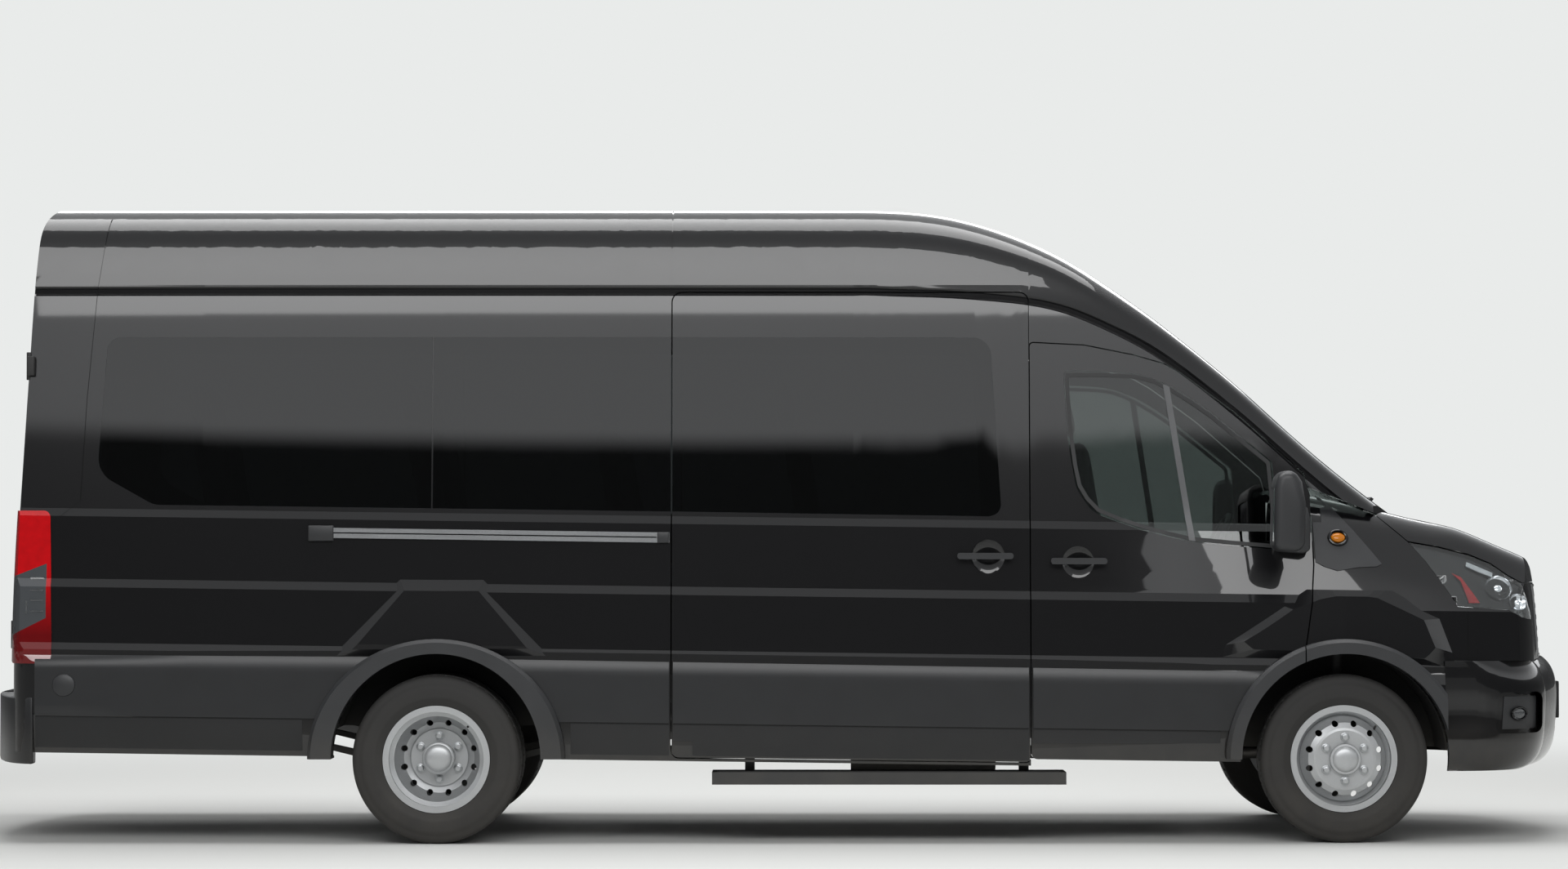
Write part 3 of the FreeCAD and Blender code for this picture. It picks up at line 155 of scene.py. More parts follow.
floor.data.materials.append(floor_paint)

# %% Room seen by rays
ROOM_FILL = 0.32
WALL_FROM, WALL_TO = 0.1905, 0.1965
WALL_DARK, WALL_BRIGHT = 0.05, 1.5
CEILING_FROM, CEILING_TO = 0.22, 0.42
CEILING_TOP_SHARE = 0.42
world = bpy.data.worlds.new("studio")
bpy.context.scene.world = world
world.use_nodes = True
tree = world.node_tree
tree.nodes.clear()
ray = add(tree, "ShaderNodeLightPath")
direction = add(tree, "ShaderNodeTexCoord")
height = add(tree, "ShaderNodeSeparateXYZ", {"Vector": direction.outputs["Generated"]})
wall = add(tree, "ShaderNodeMapRange", {
    "Value": height.outputs["Z"], "From Min": WALL_FROM, "From Max": WALL_TO,
    "To Min": WALL_DARK, "To Max": WALL_BRIGHT,
}, interpolation_type="SMOOTHSTEP")
ceiling = add(tree, "ShaderNodeMapRange", {
    "Value": height.outputs["Z"], "From Min": CEILING_FROM, "From Max": CEILING_TO,
    "To Min": 1.0, "To Max": CEILING_TOP_SHARE,
}, interpolation_type="SMOOTHSTEP")
mirrored = add(tree, "ShaderNodeMath", {
    0: wall.outputs["Result"], 1: ceiling.outputs["Result"],
}, operation="MULTIPLY")
fill = add(tree, "ShaderNodeBackground", {"Color": linear("#ffffff"), "Strength": ROOM_FILL})
seen = add(tree, "ShaderNodeBackground", {"Color": BACKGROUND, "Strength": 1.0})
mirrored_room = add(tree, "ShaderNodeBackground", {
    "Color": linear("#f4f6f8"), "Strength": mirrored.outputs["Value"],
})
direct = add(tree, "ShaderNodeMath", {
    0: ray.outputs["Is Camera Ray"], 1: ray.outputs["Is Transmission Ray"],
}, operation="MAXIMUM")
first = add(tree, "ShaderNodeMixShader", {
    "Fac": ray.outputs["Is Glossy Ray"], 1: fill.outputs["Background"], 2: mirrored_room.outputs["Background"],
})
final = add(tree, "ShaderNodeMixShader", {
    "Fac": direct.outputs["Value"], 1: first.outputs["Shader"], 2: seen.outputs["Background"],
})
add(tree, "ShaderNodeOutputWorld", {"Surface": final.outputs["Shader"]})

# %% Soft lamps
# Name, place, turn, width, depth and watts.
LAMPS = [
    ("overhead", (0.0, 0.0, 7.5), (0.0, 0.0, 0.0), 9.0, 5.0, 560.0),
    ("near_side", (0.0, -9.0, 5.5), (math.radians(58.0), 0.0, 0.0), 10.0, 3.0, 420.0),
    ("far_side", (0.0, 9.0, 5.5), (math.radians(-58.0), 0.0, 0.0), 10.0, 3.0, 260.0),
]
for name, place, turn, wide, deep, watts in LAMPS:
    data = bpy.data.lights.new(name, "AREA")
    data.shape = "RECTANGLE"
    data.size = wide
    data.size_y = deep
    data.energy = watts
    lamp = bpy.data.objects.new(name, data)
    lamp.location = place
    lamp.rotation_euler = turn
    bpy.context.collection.objects.link(lamp)

# %% [markdown]
# ## Gloss black enamel
# The body is pressed steel with black enamel under a clear lacquer. The lacquer gives one sharp
# mirror image and the enamel below it a soft one, so a coat layer over a rougher base shows
# both. Sprayed lacquer is faintly wavy, about 3 mm from crest to crest, which a very shallow
# bump gives. Road dust settles on the lowest part in patches and dulls it there.

# %% Dust helper and gloss black enamel
MM = 0.001
LACQUER_WAVE = 3.0 * MM
DUST_PATCH = 120.0 * MM
DUST_TOP = 0.60
DUST_FULL = 0.26


def dusted(tree, clean, dust, most, top=DUST_TOP, bottom=DUST_FULL):
    """Dust over a clean colour: none above top, most of it at bottom. Returns colour and share."""
    patches = add(tree, "ShaderNodeTexNoise", {
        "Vector": place_on(tree, 1.0 / DUST_PATCH), "Scale": 1.0, "Detail": 4.0, "Roughness": 0.6,
    })
    where = add(tree, "ShaderNodeTexCoord")
    height = add(tree, "ShaderNodeSeparateXYZ", {"Vector": where.outputs["Object"]})
    low = add(tree, "ShaderNodeMapRange", {
        "Value": height.outputs["Z"], "From Min": bottom, "From Max": top, "To Min": most, "To Max": 0.0,
    }, interpolation_type="SMOOTHSTEP")
    share = add(tree, "ShaderNodeMath", {
        0: low.outputs["Result"], 1: patches.outputs["Fac"],
    }, operation="MULTIPLY")
    both = add(tree, "ShaderNodeMix", {"Factor": share.outputs["Value"], 6: clean, 7: dust}, data_type="RGBA")
    return both.outputs[2], share.outputs["Value"]


ROAD_DUST = linear("#5b564c")
enamel, tree, shader = new_material("gloss_black_enamel", {
    "Specular IOR Level": 0.15, "Coat Weight": 1.0, "Coat Roughness": 0.025,
})
flow = add(tree, "ShaderNodeTexNoise", {
    "Vector": place_on(tree, 1.0 / LACQUER_WAVE), "Scale": 1.0, "Detail": 1.0,
})
depth = add(tree, "ShaderNodeMix", {
    "Factor": flow.outputs["Fac"], 6: linear("#0b0b0c"), 7: linear("#121214"),
}, data_type="RGBA")
colour, share = dusted(tree, depth.outputs[2], ROAD_DUST, 0.30)
rough = add(tree, "ShaderNodeMapRange", {"Value": share, "To Min": 0.30, "To Max": 0.85})
feed(tree, shader, {"Base Color": colour, "Roughness": rough.outputs["Result"]})
fine_bump(tree, shader, flow.outputs["Fac"], 0.03, 0.05 * MM)

# %% [markdown]
# ## Glass
# The panes behind the driver are privacy glass, toned dark in the melt, so they pass little
# light and mostly mirror the room. The driver's panes and the windscreen are lightly toned, and
# show the seats and the wheel. Light passes two faces of a pane, so each face gets the root of
# the tone. Fine dust on the outside breaks the mirror image only a little.

# %% Privacy glass and clear toned glass
WIPED_DUST = 160.0 * MM


def toned_glass(name, tone):
    """Transmitting glass of one tone, with faint dust in its roughness."""
    made, tree, shader = new_material(name, {"Transmission Weight": 1.0, "IOR": 1.58})
    film = add(tree, "ShaderNodeTexNoise", {
        "Vector": place_on(tree, 1.0 / WIPED_DUST), "Scale": 1.0, "Detail": 3.0,
    })
    rough = add(tree, "ShaderNodeMapRange", {"Value": film.outputs["Fac"], "To Min": 0.0, "To Max": 0.02})
    fade = add(tree, "ShaderNodeMapRange", {"Value": film.outputs["Fac"], "From Min": 0.4, "To Max": 0.08})
    shade = add(tree, "ShaderNodeMix", {
        "Factor": fade.outputs["Result"], 6: linear(tone), 7: linear("#3a3d3d"),
    }, data_type="RGBA")
    feed(tree, shader, {"Base Color": shade.outputs[2], "Roughness": rough.outputs["Result"]})
    return made


privacy_glass = toned_glass("privacy_glass", "#2b2e2f")
driver_glass = toned_glass("toned_safety_glass", "#7d8583")

# %% [markdown]
# ## Moulded plastics
# The arch mouldings, cladding, mirrors and handles are polypropylene moulded in a grained tool. The
# grain is about 0.9 mm, too fine for the whole view, so it is drawn at 2.5 mm. Its pits catch no
# mirror image, which gives the soft sheen. Parts near the road carry dust in the grain.

# %% Grained and smooth black plastics
GRAIN = 2.5 * MM
CLOUDS_PER_METRE = 8.0


def grained(name, light, dark, roughness, depth_mm, dust=0.0, grain=GRAIN):
    """Moulded plastic with a leather-like grain and a little colour variation."""
    made, tree, shader = new_material(name)
    pits = add(tree, "ShaderNodeTexVoronoi", {
        "Vector": place_on(tree, 1.0 / grain), "Scale": 1.0,
    }, feature="SMOOTH_F1")
    cloud = add(tree, "ShaderNodeTexNoise", {
        "Vector": place_on(tree, CLOUDS_PER_METRE), "Scale": 1.0, "Detail": 3.0,
    })
    body = add(tree, "ShaderNodeMix", {
        "Factor": cloud.outputs["Fac"], 6: linear(dark), 7: linear(light),
    }, data_type="RGBA")
    colour = dusted(tree, body.outputs[2], ROAD_DUST, dust)[0] if dust else body.outputs[2]
    rough = add(tree, "ShaderNodeMapRange", {
        "Value": pits.outputs["Distance"], "To Min": roughness - 0.06, "To Max": roughness + 0.08,
    })
    feed(tree, shader, {"Base Color": colour, "Roughness": rough.outputs["Result"]})
    fine_bump(tree, shader, pits.outputs["Distance"], 0.35, depth_mm * MM)
    return made


arch_plastic = grained("grained_polypropylene", "#2f3032", "#232426", 0.46, 0.10, dust=0.35)
mirror_plastic = grained("satin_moulded_abs", "#28292b", "#1f2022", 0.42, 0.06)
cladding_plastic = grained("satin_side_cladding", "#202123", "#17181a", 0.34, 0.05, dust=0.1)
skirt_plastic = grained("matt_sill_skirt", "#131416", "#0d0e0f", 0.62, 0.06, dust=0.1)
bumper_plastic = grained("satin_bumper_polypropylene", "#1b1c1e", "#131416", 0.36, 0.05, dust=0.25)
liner_plastic = grained("felted_wheelhouse_liner", "#1d1d1d", "#121212", 0.85, 0.30, dust=0.6)
cabin_plastic = grained("soft_dashboard_skin", "#3a3b3e", "#2d2e31", 0.55, 0.15)
gloss_plastic = grained("gloss_black_acrylic", "#0e0e0f", "#09090a", 0.14, 0.0)

# %% [markdown]
# ## Silver wheel enamel
# The wheels are pressed steel, sprayed silver. Aluminium flakes in the enamel make it sparkle a
# little and darken at a slant, so it is half metallic with a flake pattern, 1.2 mm as drawn.
# Brake dust gathers near the hub and in the dish, low on the vehicle like all road dirt.

# %% Silver enamel
FLAKE = 1.2 * MM
silver, tree, shader = new_material("silver_wheel_enamel", {"Metallic": 0.55})
flakes = add(tree, "ShaderNodeTexVoronoi", {"Vector": place_on(tree, 1.0 / FLAKE), "Scale": 1.0})
tone = add(tree, "ShaderNodeMapRange", {"Value": flakes.outputs["Distance"], "To Min": 0.0, "To Max": 1.0})
flaked = add(tree, "ShaderNodeMix", {
    "Factor": tone.outputs["Result"], 6: linear("#c9cbcc"), 7: linear("#b2b4b6"),
}, data_type="RGBA")
colour, share = dusted(tree, flaked.outputs[2], linear("#4c4843"), 0.30, 0.75, 0.10)
rough = add(tree, "ShaderNodeMapRange", {"Value": share, "To Min": 0.34, "To Max": 0.60})
feed(tree, shader, {"Base Color": colour, "Roughness": rough.outputs["Result"]})

# %% [markdown]
# ## Tyre rubber
# Vulcanised rubber filled with carbon black: nearly black, slightly brown with road dust in the
# tread, and rough at the scale of its moulding. The dust is on everything near the ground.

# %% Tyre rubber
MOULD_GRIT = 2.0 * MM
rubber, tree, shader = new_material("vulcanised_tyre_rubber")
skin = add(tree, "ShaderNodeTexNoise", {
    "Vector": place_on(tree, 1.0 / MOULD_GRIT), "Scale": 1.0, "Detail": 4.0,
})
worn = add(tree, "ShaderNodeMix", {
    "Factor": skin.outputs["Fac"], 6: linear("#1a1a1a"), 7: linear("#2a2928"),
}, data_type="RGBA")
colour, share = dusted(tree, worn.outputs[2], linear("#57524a"), 0.35, 0.80, 0.0)
rough = add(tree, "ShaderNodeMapRange", {"Value": skin.outputs["Fac"], "To Min": 0.62, "To Max": 0.82})
feed(tree, shader, {"Base Color": colour, "Roughness": rough.outputs["Result"]})
fine_bump(tree, shader, skin.outputs["Fac"], 0.25, 0.15 * MM)

# %% [markdown]
# ## Chassis paint, castings and bare metals
# The chassis is dip-coated black, dull and dusty. Knuckles and the engine are iron castings with
# a sand-cast skin. The door rail is drawn aluminium: its fine lines run along it, so the noise
# is stretched along X. Chrome is a mirror with faint swirls from polishing.

# %% Chassis metals
chassis_paint = grained("dip_coated_chassis_paint", "#2a2a2a", "#1a1a1a", 0.62, 0.12, dust=0.5, grain=4.0 * MM)


def metal(name, light, dark, roughness, spread, stretch, depth_mm):
    """Bare metal with a grain stretched by three factors, in cells per metre."""
    made, tree, shader = new_material(name, {"Metallic": 1.0})
    lines = add(tree, "ShaderNodeTexNoise", {"Vector": place_on(tree, stretch), "Scale": 1.0, "Detail": 4.0})
    tone = add(tree, "ShaderNodeMix", {
        "Factor": lines.outputs["Fac"], 6: linear(light), 7: linear(dark),
    }, data_type="RGBA")
    rough = add(tree, "ShaderNodeMapRange", {
        "Value": lines.outputs["Fac"], "To Min": roughness - spread, "To Max": roughness + spread,
    })
    feed(tree, shader, {"Base Color": tone.outputs[2], "Roughness": rough.outputs["Result"]})
    fine_bump(tree, shader, lines.outputs["Fac"], 0.3, depth_mm * MM)
    return made


cast_iron = metal("sand_cast_iron", "#6b6764", "#4c4947", 0.6, 0.15, (300.0, 300.0, 300.0), 0.25)
rail_metal = metal("drawn_aluminium", "#dfe1e3", "#c6c9cc", 0.24, 0.06, (6.0, 500.0, 500.0), 0.03)
exhaust_steel = metal("aluminised_steel", "#8d8a86", "#6c6965", 0.5, 0.15, (25.0, 60.0, 60.0), 0.05)
chrome = metal("vacuum_chrome", "#f2f3f5", "#dadcdf", 0.06, 0.04, (40.0, 40.0, 40.0), 0.0)

# %% [markdown]
# ## Lamp plastics
# Lenses are coloured acrylic. They pass light and tint it, so they are made like glass, with the
# colour of the melt. The bowls, strips and reflectors behind them are modelled further down.

# %% Lamp acrylics
MOULD_FLOW = 30.0 * MM


def acrylic(name, tint, deeper, transmission):
    """Coloured clear plastic with a faint flow pattern in its tint."""
    made, tree, shader = new_material(name, {"Transmission Weight": transmission, "IOR": 1.49})
    flow = add(tree, "ShaderNodeTexNoise", {
        "Vector": place_on(tree, 1.0 / MOULD_FLOW), "Scale": 1.0, "Detail": 2.0,
    })
    body = add(tree, "ShaderNodeMix", {
        "Factor": flow.outputs["Fac"], 6: linear(tint), 7: linear(deeper),
    }, data_type="RGBA")
    rough = add(tree, "ShaderNodeMapRange", {"Value": flow.outputs["Fac"], "To Min": 0.0, "To Max": 0.06})
    feed(tree, shader, {"Base Color": body.outputs[2], "Roughness": rough.outputs["Result"]})
    return made


clear_acrylic = acrylic("clear_lamp_acrylic", "#f4f6f7", "#e6eaec", 1.0)
red_acrylic = acrylic("red_lamp_acrylic", "#d3121a", "#b30c12", 0.35)
smoked_acrylic = acrylic("smoked_lamp_acrylic", "#8d9092", "#6c6f72", 0.6)
amber_acrylic = acrylic("amber_lamp_acrylic", "#f0920c", "#d97a05", 0.3)

# %% [markdown]
# ## Woven seat cloth
# The seats wear a dark flat weave. Threads are about 1.2 mm apart, drawn at 5 mm so that they
# show. Two crossed waves make warp and weft, and the sheen socket gives the soft edge of pile.

# %% Seat cloth
THREAD = 5.0 * MM
cloth, tree, shader = new_material("woven_seat_cloth", {"Roughness": 0.85, "Sheen Weight": 0.25})
warp, weft = [
    add(tree, "ShaderNodeTexWave", {
        "Vector": place_on(tree, 1.0 / THREAD), "Scale": 1.0, "Distortion": 0.6, "Detail": 1.0,
    }, bands_direction=way) for way in ("Y", "DIAGONAL")
]
crossing = add(tree, "ShaderNodeMath", {0: warp.outputs["Fac"], 1: weft.outputs["Fac"]}, operation="MULTIPLY")
thread = add(tree, "ShaderNodeMix", {
    "Factor": crossing.outputs["Value"], 6: linear("#222327"), 7: linear("#3b3d43"),
}, data_type="RGBA")
feed(tree, shader, {"Base Color": thread.outputs[2]})
fine_bump(tree, shader, crossing.outputs["Value"], 0.4, 0.4 * MM)

# %% [markdown]
# ## Finish the frame's own parts
# A part of the frame whose shape is already right keeps its mesh and gets its finish in its own
# material slots.

# %% Assign finishes to the frame
FINISH = {
    enamel: ["side_panel_left", "side_panel_right", "roof", "windscreen_surround", "sliding_door", "fenders",
             "front_panel", "front_bumper", "front_door_left", "front_door_right", "rear_door_left",
             "rear_door_right", "bonnet"],
    privacy_glass: ["side_glass", "rear_glass_left", "rear_glass_right"],
    driver_glass: ["windscreen", "door_glass_left", "door_glass_right"],
    arch_plastic: ["arch_flares", "door_flare_left", "door_flare_right", "side_step"],
    bumper_plastic: ["rear_bumper"],
    mirror_plastic: ["mirror_left", "mirror_right", "door_handle_left", "door_handle_right", "slider_handle"],
    gloss_plastic: ["grille", "headlamp_housings"],
    liner_plastic: ["arch_liners"],
    cabin_plastic: ["dashboard", "steering_wheel"],
    rail_metal: ["slide_rail"],
    clear_acrylic: ["headlamps"],
    red_acrylic: ["tail_lamps"],
    silver: ["rim_front_left", "rim_front_right", "rims_rear_left", "rims_rear_right"],
    rubber: ["tyre_front_left", "tyre_front_right", "tyres_rear_left", "tyres_rear_right"],
    chassis_paint: ["underbody", "firewall", "front_suspension", "rear_axle", "fuel_tank"],
    cast_iron: ["knuckle_left", "knuckle_right", "engine"],
    exhaust_steel: ["exhaust"],
    cloth: ["front_seats", "passenger_seats"],
}
for finish, names in FINISH.items():
    for name in names:
        for slot in nodes[name].material_slots:
            slot.material = finish
print("finished", sum(len(names) for names in FINISH.values()), "of", len(nodes), "nodes")

# %% [markdown]
# ## Modelling by hand, in code
# Most pieces start as a line that is extruded from point to point, and become a solid by a spin
# round an axle, by an extrusion, or by being laid on the vehicle's skin. Blender's operators act
# on all that is selected, so each helper first selects nothing.

# %% Start, finish and copy a piece
def leave():
    """Leaves edit mode."""
    bpy.ops.object.mode_set(mode="OBJECT")


def begin():
    """Leaves edit mode and selects nothing, so that an operator acts on the new piece alone."""
    if bpy.context.object and bpy.context.object.mode != "OBJECT":
        leave()
    bpy.ops.object.select_all(action="DESELECT")


def only(piece):
    """Selects one piece and makes it the active one."""
    begin()
    piece.select_set(True)
    bpy.context.view_layer.objects.active = piece


def tidy_faces():
    """Merges doubles and turns all faces outwards, in edit mode."""
    bpy.ops.mesh.select_all(action="SELECT")
    bpy.ops.mesh.remove_doubles(threshold=0.02 * MM)
    bpy.ops.mesh.normals_make_consistent(inside=False)


def apply_modifiers(piece):
    """Puts a piece's live modifiers into its mesh."""
    only(piece)
    for modifier in list(piece.modifiers):
        bpy.ops.object.modifier_apply(modifier=modifier.name)


def apply_place(piece):
    """Puts a piece's place, turn and size into its mesh."""
    only(piece)
    bpy.ops.object.transform_apply(location=True, rotation=True, scale=True)


def edit_all(piece):
    """Enters edit mode with the whole piece selected."""
    only(piece)
    bpy.ops.object.mode_set(mode="EDIT")
    bpy.ops.mesh.select_all(action="SELECT")


def pick(piece, elements, wanted):
    """Enters edit mode with only those vertices or faces selected that pass a test."""
    only(piece)
    bpy.ops.object.mode_set(mode="EDIT")
    bpy.ops.mesh.select_all(action="DESELECT")
    mesh = bmesh.from_edit_mesh(piece.data)
    for element in getattr(mesh, elements):
        element.select = wanted(element)
    bmesh.update_edit_mesh(piece.data)


def settle(piece, name, finish, body, angle=35.0):
    """Applies what is live, puts the place into the mesh, and gives the piece finish and body."""
    apply_modifiers(piece)
    apply_place(piece)
    bpy.ops.object.shade_smooth_by_angle(angle=math.radians(angle))
    piece.name = name
    piece.data.materials.clear()
    piece.data.materials.append(finish)
    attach(piece, body)


def twin_of(piece):
    """Copy of a piece with a mesh of its own."""
    twin = piece.copy()
    twin.data = piece.data.copy()
    bpy.context.collection.objects.link(twin)
    return twin


# %% Draw a line, spin it, extrude it
def draw(points, closed=False):
    """One vertex is extruded from point to point, and a closed outline is filled. Stays in edit mode."""
    begin()
    bpy.ops.mesh.primitive_plane_add(size=MM, location=(0.0, 0.0, 0.0))
    bpy.ops.object.mode_set(mode="EDIT")
    bpy.ops.mesh.merge(type="CENTER")
    bpy.ops.transform.translate(value=points[0])
    for a, b in zip(points, points[1:]):
        bpy.ops.mesh.extrude_region_move(TRANSFORM_OT_translate={"value": Vector(b) - Vector(a)})
    if closed:
        bpy.ops.mesh.select_all(action="SELECT")
        bpy.ops.mesh.edge_face_add()
    return bpy.context.object


def spun(profile, steps, center=(0.0, 0.0, 0.0), axis=(0.0, 1.0, 0.0)):
    """Spins a drawn line round an axle into a closed skin."""
    piece = draw(profile)
    bpy.ops.mesh.select_all(action="SELECT")
    bpy.ops.mesh.spin(steps=steps, angle=math.radians(360.0), center=center, axis=axis)
    tidy_faces()
    leave()
    return piece


def rounded(piece, width, segments=2):
    """Rounds the sharp edges of a piece with a live Bevel modifier."""
    rounding = piece.modifiers.new("rounding", "BEVEL")
    rounding.width = width
    rounding.segments = segments
    rounding.limit_method = "ANGLE"
    rounding.angle_limit = math.radians(30.0)
    return piece


def extruded(outline, way, bevel=0.0, segments=2):
    """Pulls a filled outline along a vector into a solid and rounds its edges."""
    piece = draw(outline, closed=True)
    bpy.ops.mesh.extrude_region_move(TRANSFORM_OT_translate={"value": way})
    tidy_faces()
    leave()
    return rounded(piece, bevel, segments) if bevel else piece


def block(low, high, bevel, segments=2):
    """Box between two corners with rounded edges."""
    begin()
    size = [b - a for a, b in zip(low, high)]
    middle = [(a + b) / 2 for a, b in zip(low, high)]
    bpy.ops.mesh.primitive_cube_add(size=1.0, location=middle, scale=size)
    apply_place(bpy.context.object)
    return rounded(bpy.context.object, bevel, segments)


def cylinder(sides, radius, tall, place, bevel, turn=0.0):
    """Cylinder with rounded edges, upright before it is turned about the X axis."""
    begin()
    bpy.ops.mesh.primitive_cylinder_add(
        vertices=sides, radius=radius, depth=tall, location=place, rotation=(turn, 0.0, 0.0))
    apply_place(bpy.context.object)
    return rounded(bpy.context.object, bevel)


def joined(pieces):
    """Joins several meshes into the first of them, each with its modifiers applied."""
    for piece in pieces:
        apply_modifiers(piece)
    begin()
    for piece in pieces:
        piece.select_set(True)
    bpy.context.view_layer.objects.active = pieces[0]
    bpy.ops.object.join()
    return pieces[0]


# %% [markdown]
# ## Laying a sheet on the skin
# Lamps, trims, seals and cladding follow the curved side of the vehicle. Such a piece is drawn flat
# beside the vehicle, cut into cells so that it can bend, and thrown onto the skin by a Shrinkwrap
# modifier. Points that miss the skin are deleted, and a Solidify modifier gives it thickness.

# %% Lay an outline on the skin
def cut_into_cells(axis, low, high, step):
    """Cuts the selected faces at even places along one axis."""
    normal = [0.0, 0.0, 0.0]
    normal[axis] = 1.0
    place = low + step
    while place < high - step * 0.2:
        point = [0.0, 0.0, 0.0]
        point[axis] = place
        bpy.ops.mesh.select_all(action="SELECT")
        bpy.ops.mesh.bisect(plane_co=point, plane_no=normal)
        place += step


def walled(piece, thick, side):
    """Gives a sheet a live wall: outwards for side 1, inwards for -1, both ways for 0."""
    wall = piece.modifiers.new("wall", "SOLIDIFY")
    wall.thickness = thick
    wall.offset = side
    return piece


def laid(outline, target, lift, thick, start, frame_width=0.0, cell=0.06, axis="Y"):
    """Sheet of the outline on the target's skin. A frame width leaves only the outline's border.

    For axis Y the outline is (x, z) and falls from the start's side; for axis X it is (y, z)."""
    depth, across = (1, 0) if axis == "Y" else (0, 1)
    piece = draw([(u, start, v) if axis == "Y" else (start, u, v) for u, v in outline], closed=True)
    if frame_width:
        bpy.ops.mesh.select_all(action="SELECT")
        bpy.ops.mesh.inset(thickness=frame_width)
        bpy.ops.mesh.delete(type="FACE")
    us, vs = zip(*outline)
    cut_into_cells(across, min(us), max(us), cell)
    cut_into_cells(2, min(vs), max(vs), cell)
    leave()
    throw = piece.modifiers.new("throw", "SHRINKWRAP")
    throw.target = target
    throw.wrap_method = "PROJECT"
    throw.use_project_x = axis == "X"
    throw.use_project_y = axis == "Y"
    throw.use_negative_direction = True
    throw.use_positive_direction = True
    throw.offset = lift
    apply_modifiers(piece)
    pick(piece, "verts", lambda vertex: abs(vertex.co[depth] - start) < 1.0 * MM)
    bpy.ops.mesh.delete(type="VERT")
    bpy.ops.mesh.select_all(action="SELECT")
    bpy.ops.mesh.normals_make_consistent(inside=False)
    leave()
    if max(piece.data.polygons, key=lambda face: face.area).normal[depth] * start < 0.0:
        edit_all(piece)
        bpy.ops.mesh.flip_normals()
        leave()
    return walled(piece, thick, 1.0)


def skin_at(target, x, z, side):
    """Where a ray from beside the vehicle meets a part of the frame, and the normal there."""
    return target.ray_cast(Vector((x, 2.0 * side, z)), Vector((0.0, -side, 0.0)))[1:3]


print("helpers ready")

# %% [markdown]
# ## Tyres
# A road tyre has a bulged wall, a rounded shoulder and a tread of ribs between grooves, with
# cross cuts in the outer ribs. Its section is one line that is spun round the axle. The cross cuts
# are faces picked by their place, inset and pushed in. The same tyre is copied to all six places.

# %% One tyre, copied to six places
AXLE_Z = 348.0 * MM
FRONT_AXLE_X = 2328.5 * MM
REAR_AXLE_X = -1421.5 * MM
TYRE_STEPS = 192
GROOVE_EDGES = [(57.0, 47.0), (23.0, 13.0)]
GROOVE_DEPTH = 7.5
TREAD_FROM = 343.5 * MM
OUTER_CUTS = (57.5, 80.0)
INNER_CUTS = (23.5, 46.5)
# Side wall, as (distance from the tyre's middle, radius).
wall = [
    (75.0, 206.0), (76.0, 222.0), (84.0, 224.0), (90.0, 236.0), (95.5, 250.0), (96.6, 252.0), (97.3, 262.0),
    (97.5, 276.0), (97.0, 292.0), (95.2, 308.0), (93.6, 310.0), (92.0, 322.0), (88.5, 333.0), (83.0, 341.0),
    (76.0, 345.2),
]
crown = []
for outer, inner in GROOVE_EDGES:
    crown += [(outer, 347.2), (outer - 1.2, 347.6 - GROOVE_DEPTH)]
    crown += [(inner + 1.2, 347.8 - GROOVE_DEPTH), (inner, 347.8)]
half = wall + crown
profile = half + [(-t, r) for t, r in reversed(half)] + half[:1]
points = [(0.0, t * MM, r * MM) for t, r in profile]
tyre = spun(points, TYRE_STEPS)


def in_a_cut(face):
    """True for a face of the tread where a cross cut goes; the two sides are out of step."""
    c = face.calc_center_median()
    step = int((math.atan2(c.z, c.x) / (2.0 * math.pi) + 0.5) * TYRE_STEPS)
    across = abs(c.y) / MM
    outer_cut = OUTER_CUTS[0] < across < OUTER_CUTS[1] and (step + (2 if c.y > 0.0 else 0)) % 4 == 0
    inner_cut = INNER_CUTS[0] < across < INNER_CUTS[1] and (step + (3 if c.y > 0.0 else 0)) % 6 == 0
    return math.hypot(c.x, c.z) > TREAD_FROM and (outer_cut or inner_cut)


pick(tyre, "faces", in_a_cut)
bpy.ops.mesh.inset(thickness=1.2 * MM, depth=-4.5 * MM)
leave()
FRONT_TYRE_Y = 868.0 * MM
OUTER_TYRE_Y = 935.0 * MM
INNER_TYRE_Y = 716.0 * MM
settle(tyre, "road_tyre_front_left", rubber, "wheel_front_left", 40.0)
# Label, body, x, y and the frame's tyre that it replaces.
PLACES = [
    ("front_right", "wheel_front_right", FRONT_AXLE_X, -FRONT_TYRE_Y, "tyre_front_right"),
    ("rear_left_outer", "wheels_rear_left", REAR_AXLE_X, OUTER_TYRE_Y, "tyres_rear_left"),
    ("rear_left_inner", "wheels_rear_left", REAR_AXLE_X, INNER_TYRE_Y, None),
    ("rear_right_outer", "wheels_rear_right", REAR_AXLE_X, -OUTER_TYRE_Y, "tyres_rear_right"),
    ("rear_right_inner", "wheels_rear_right", REAR_AXLE_X, -INNER_TYRE_Y, None),
]
for label, body, x, y, node in PLACES:
    twin = twin_of(tyre)
    twin.location = (x, y, AXLE_Z)
    apply_place(twin)
    twin.name = "road_tyre_" + label
    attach(twin, body)
    if node:
        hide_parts(node)
tyre.location = (FRONT_AXLE_X, FRONT_TYRE_Y, AXLE_Z)
apply_place(tyre)
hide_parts("tyre_front_left")
print("tyre faces", len(tyre.data.polygons))

# %% [markdown]
# ## Wheel nuts, hub caps and valves
# Six flanged nuts hold each wheel. A nut is a six-sided cylinder whose upper edges are bevelled, on
# a round flange, and one nut is spun into a ring of six. Each hub carries a domed silver cap, which
# at the rear sits deep in the dish.

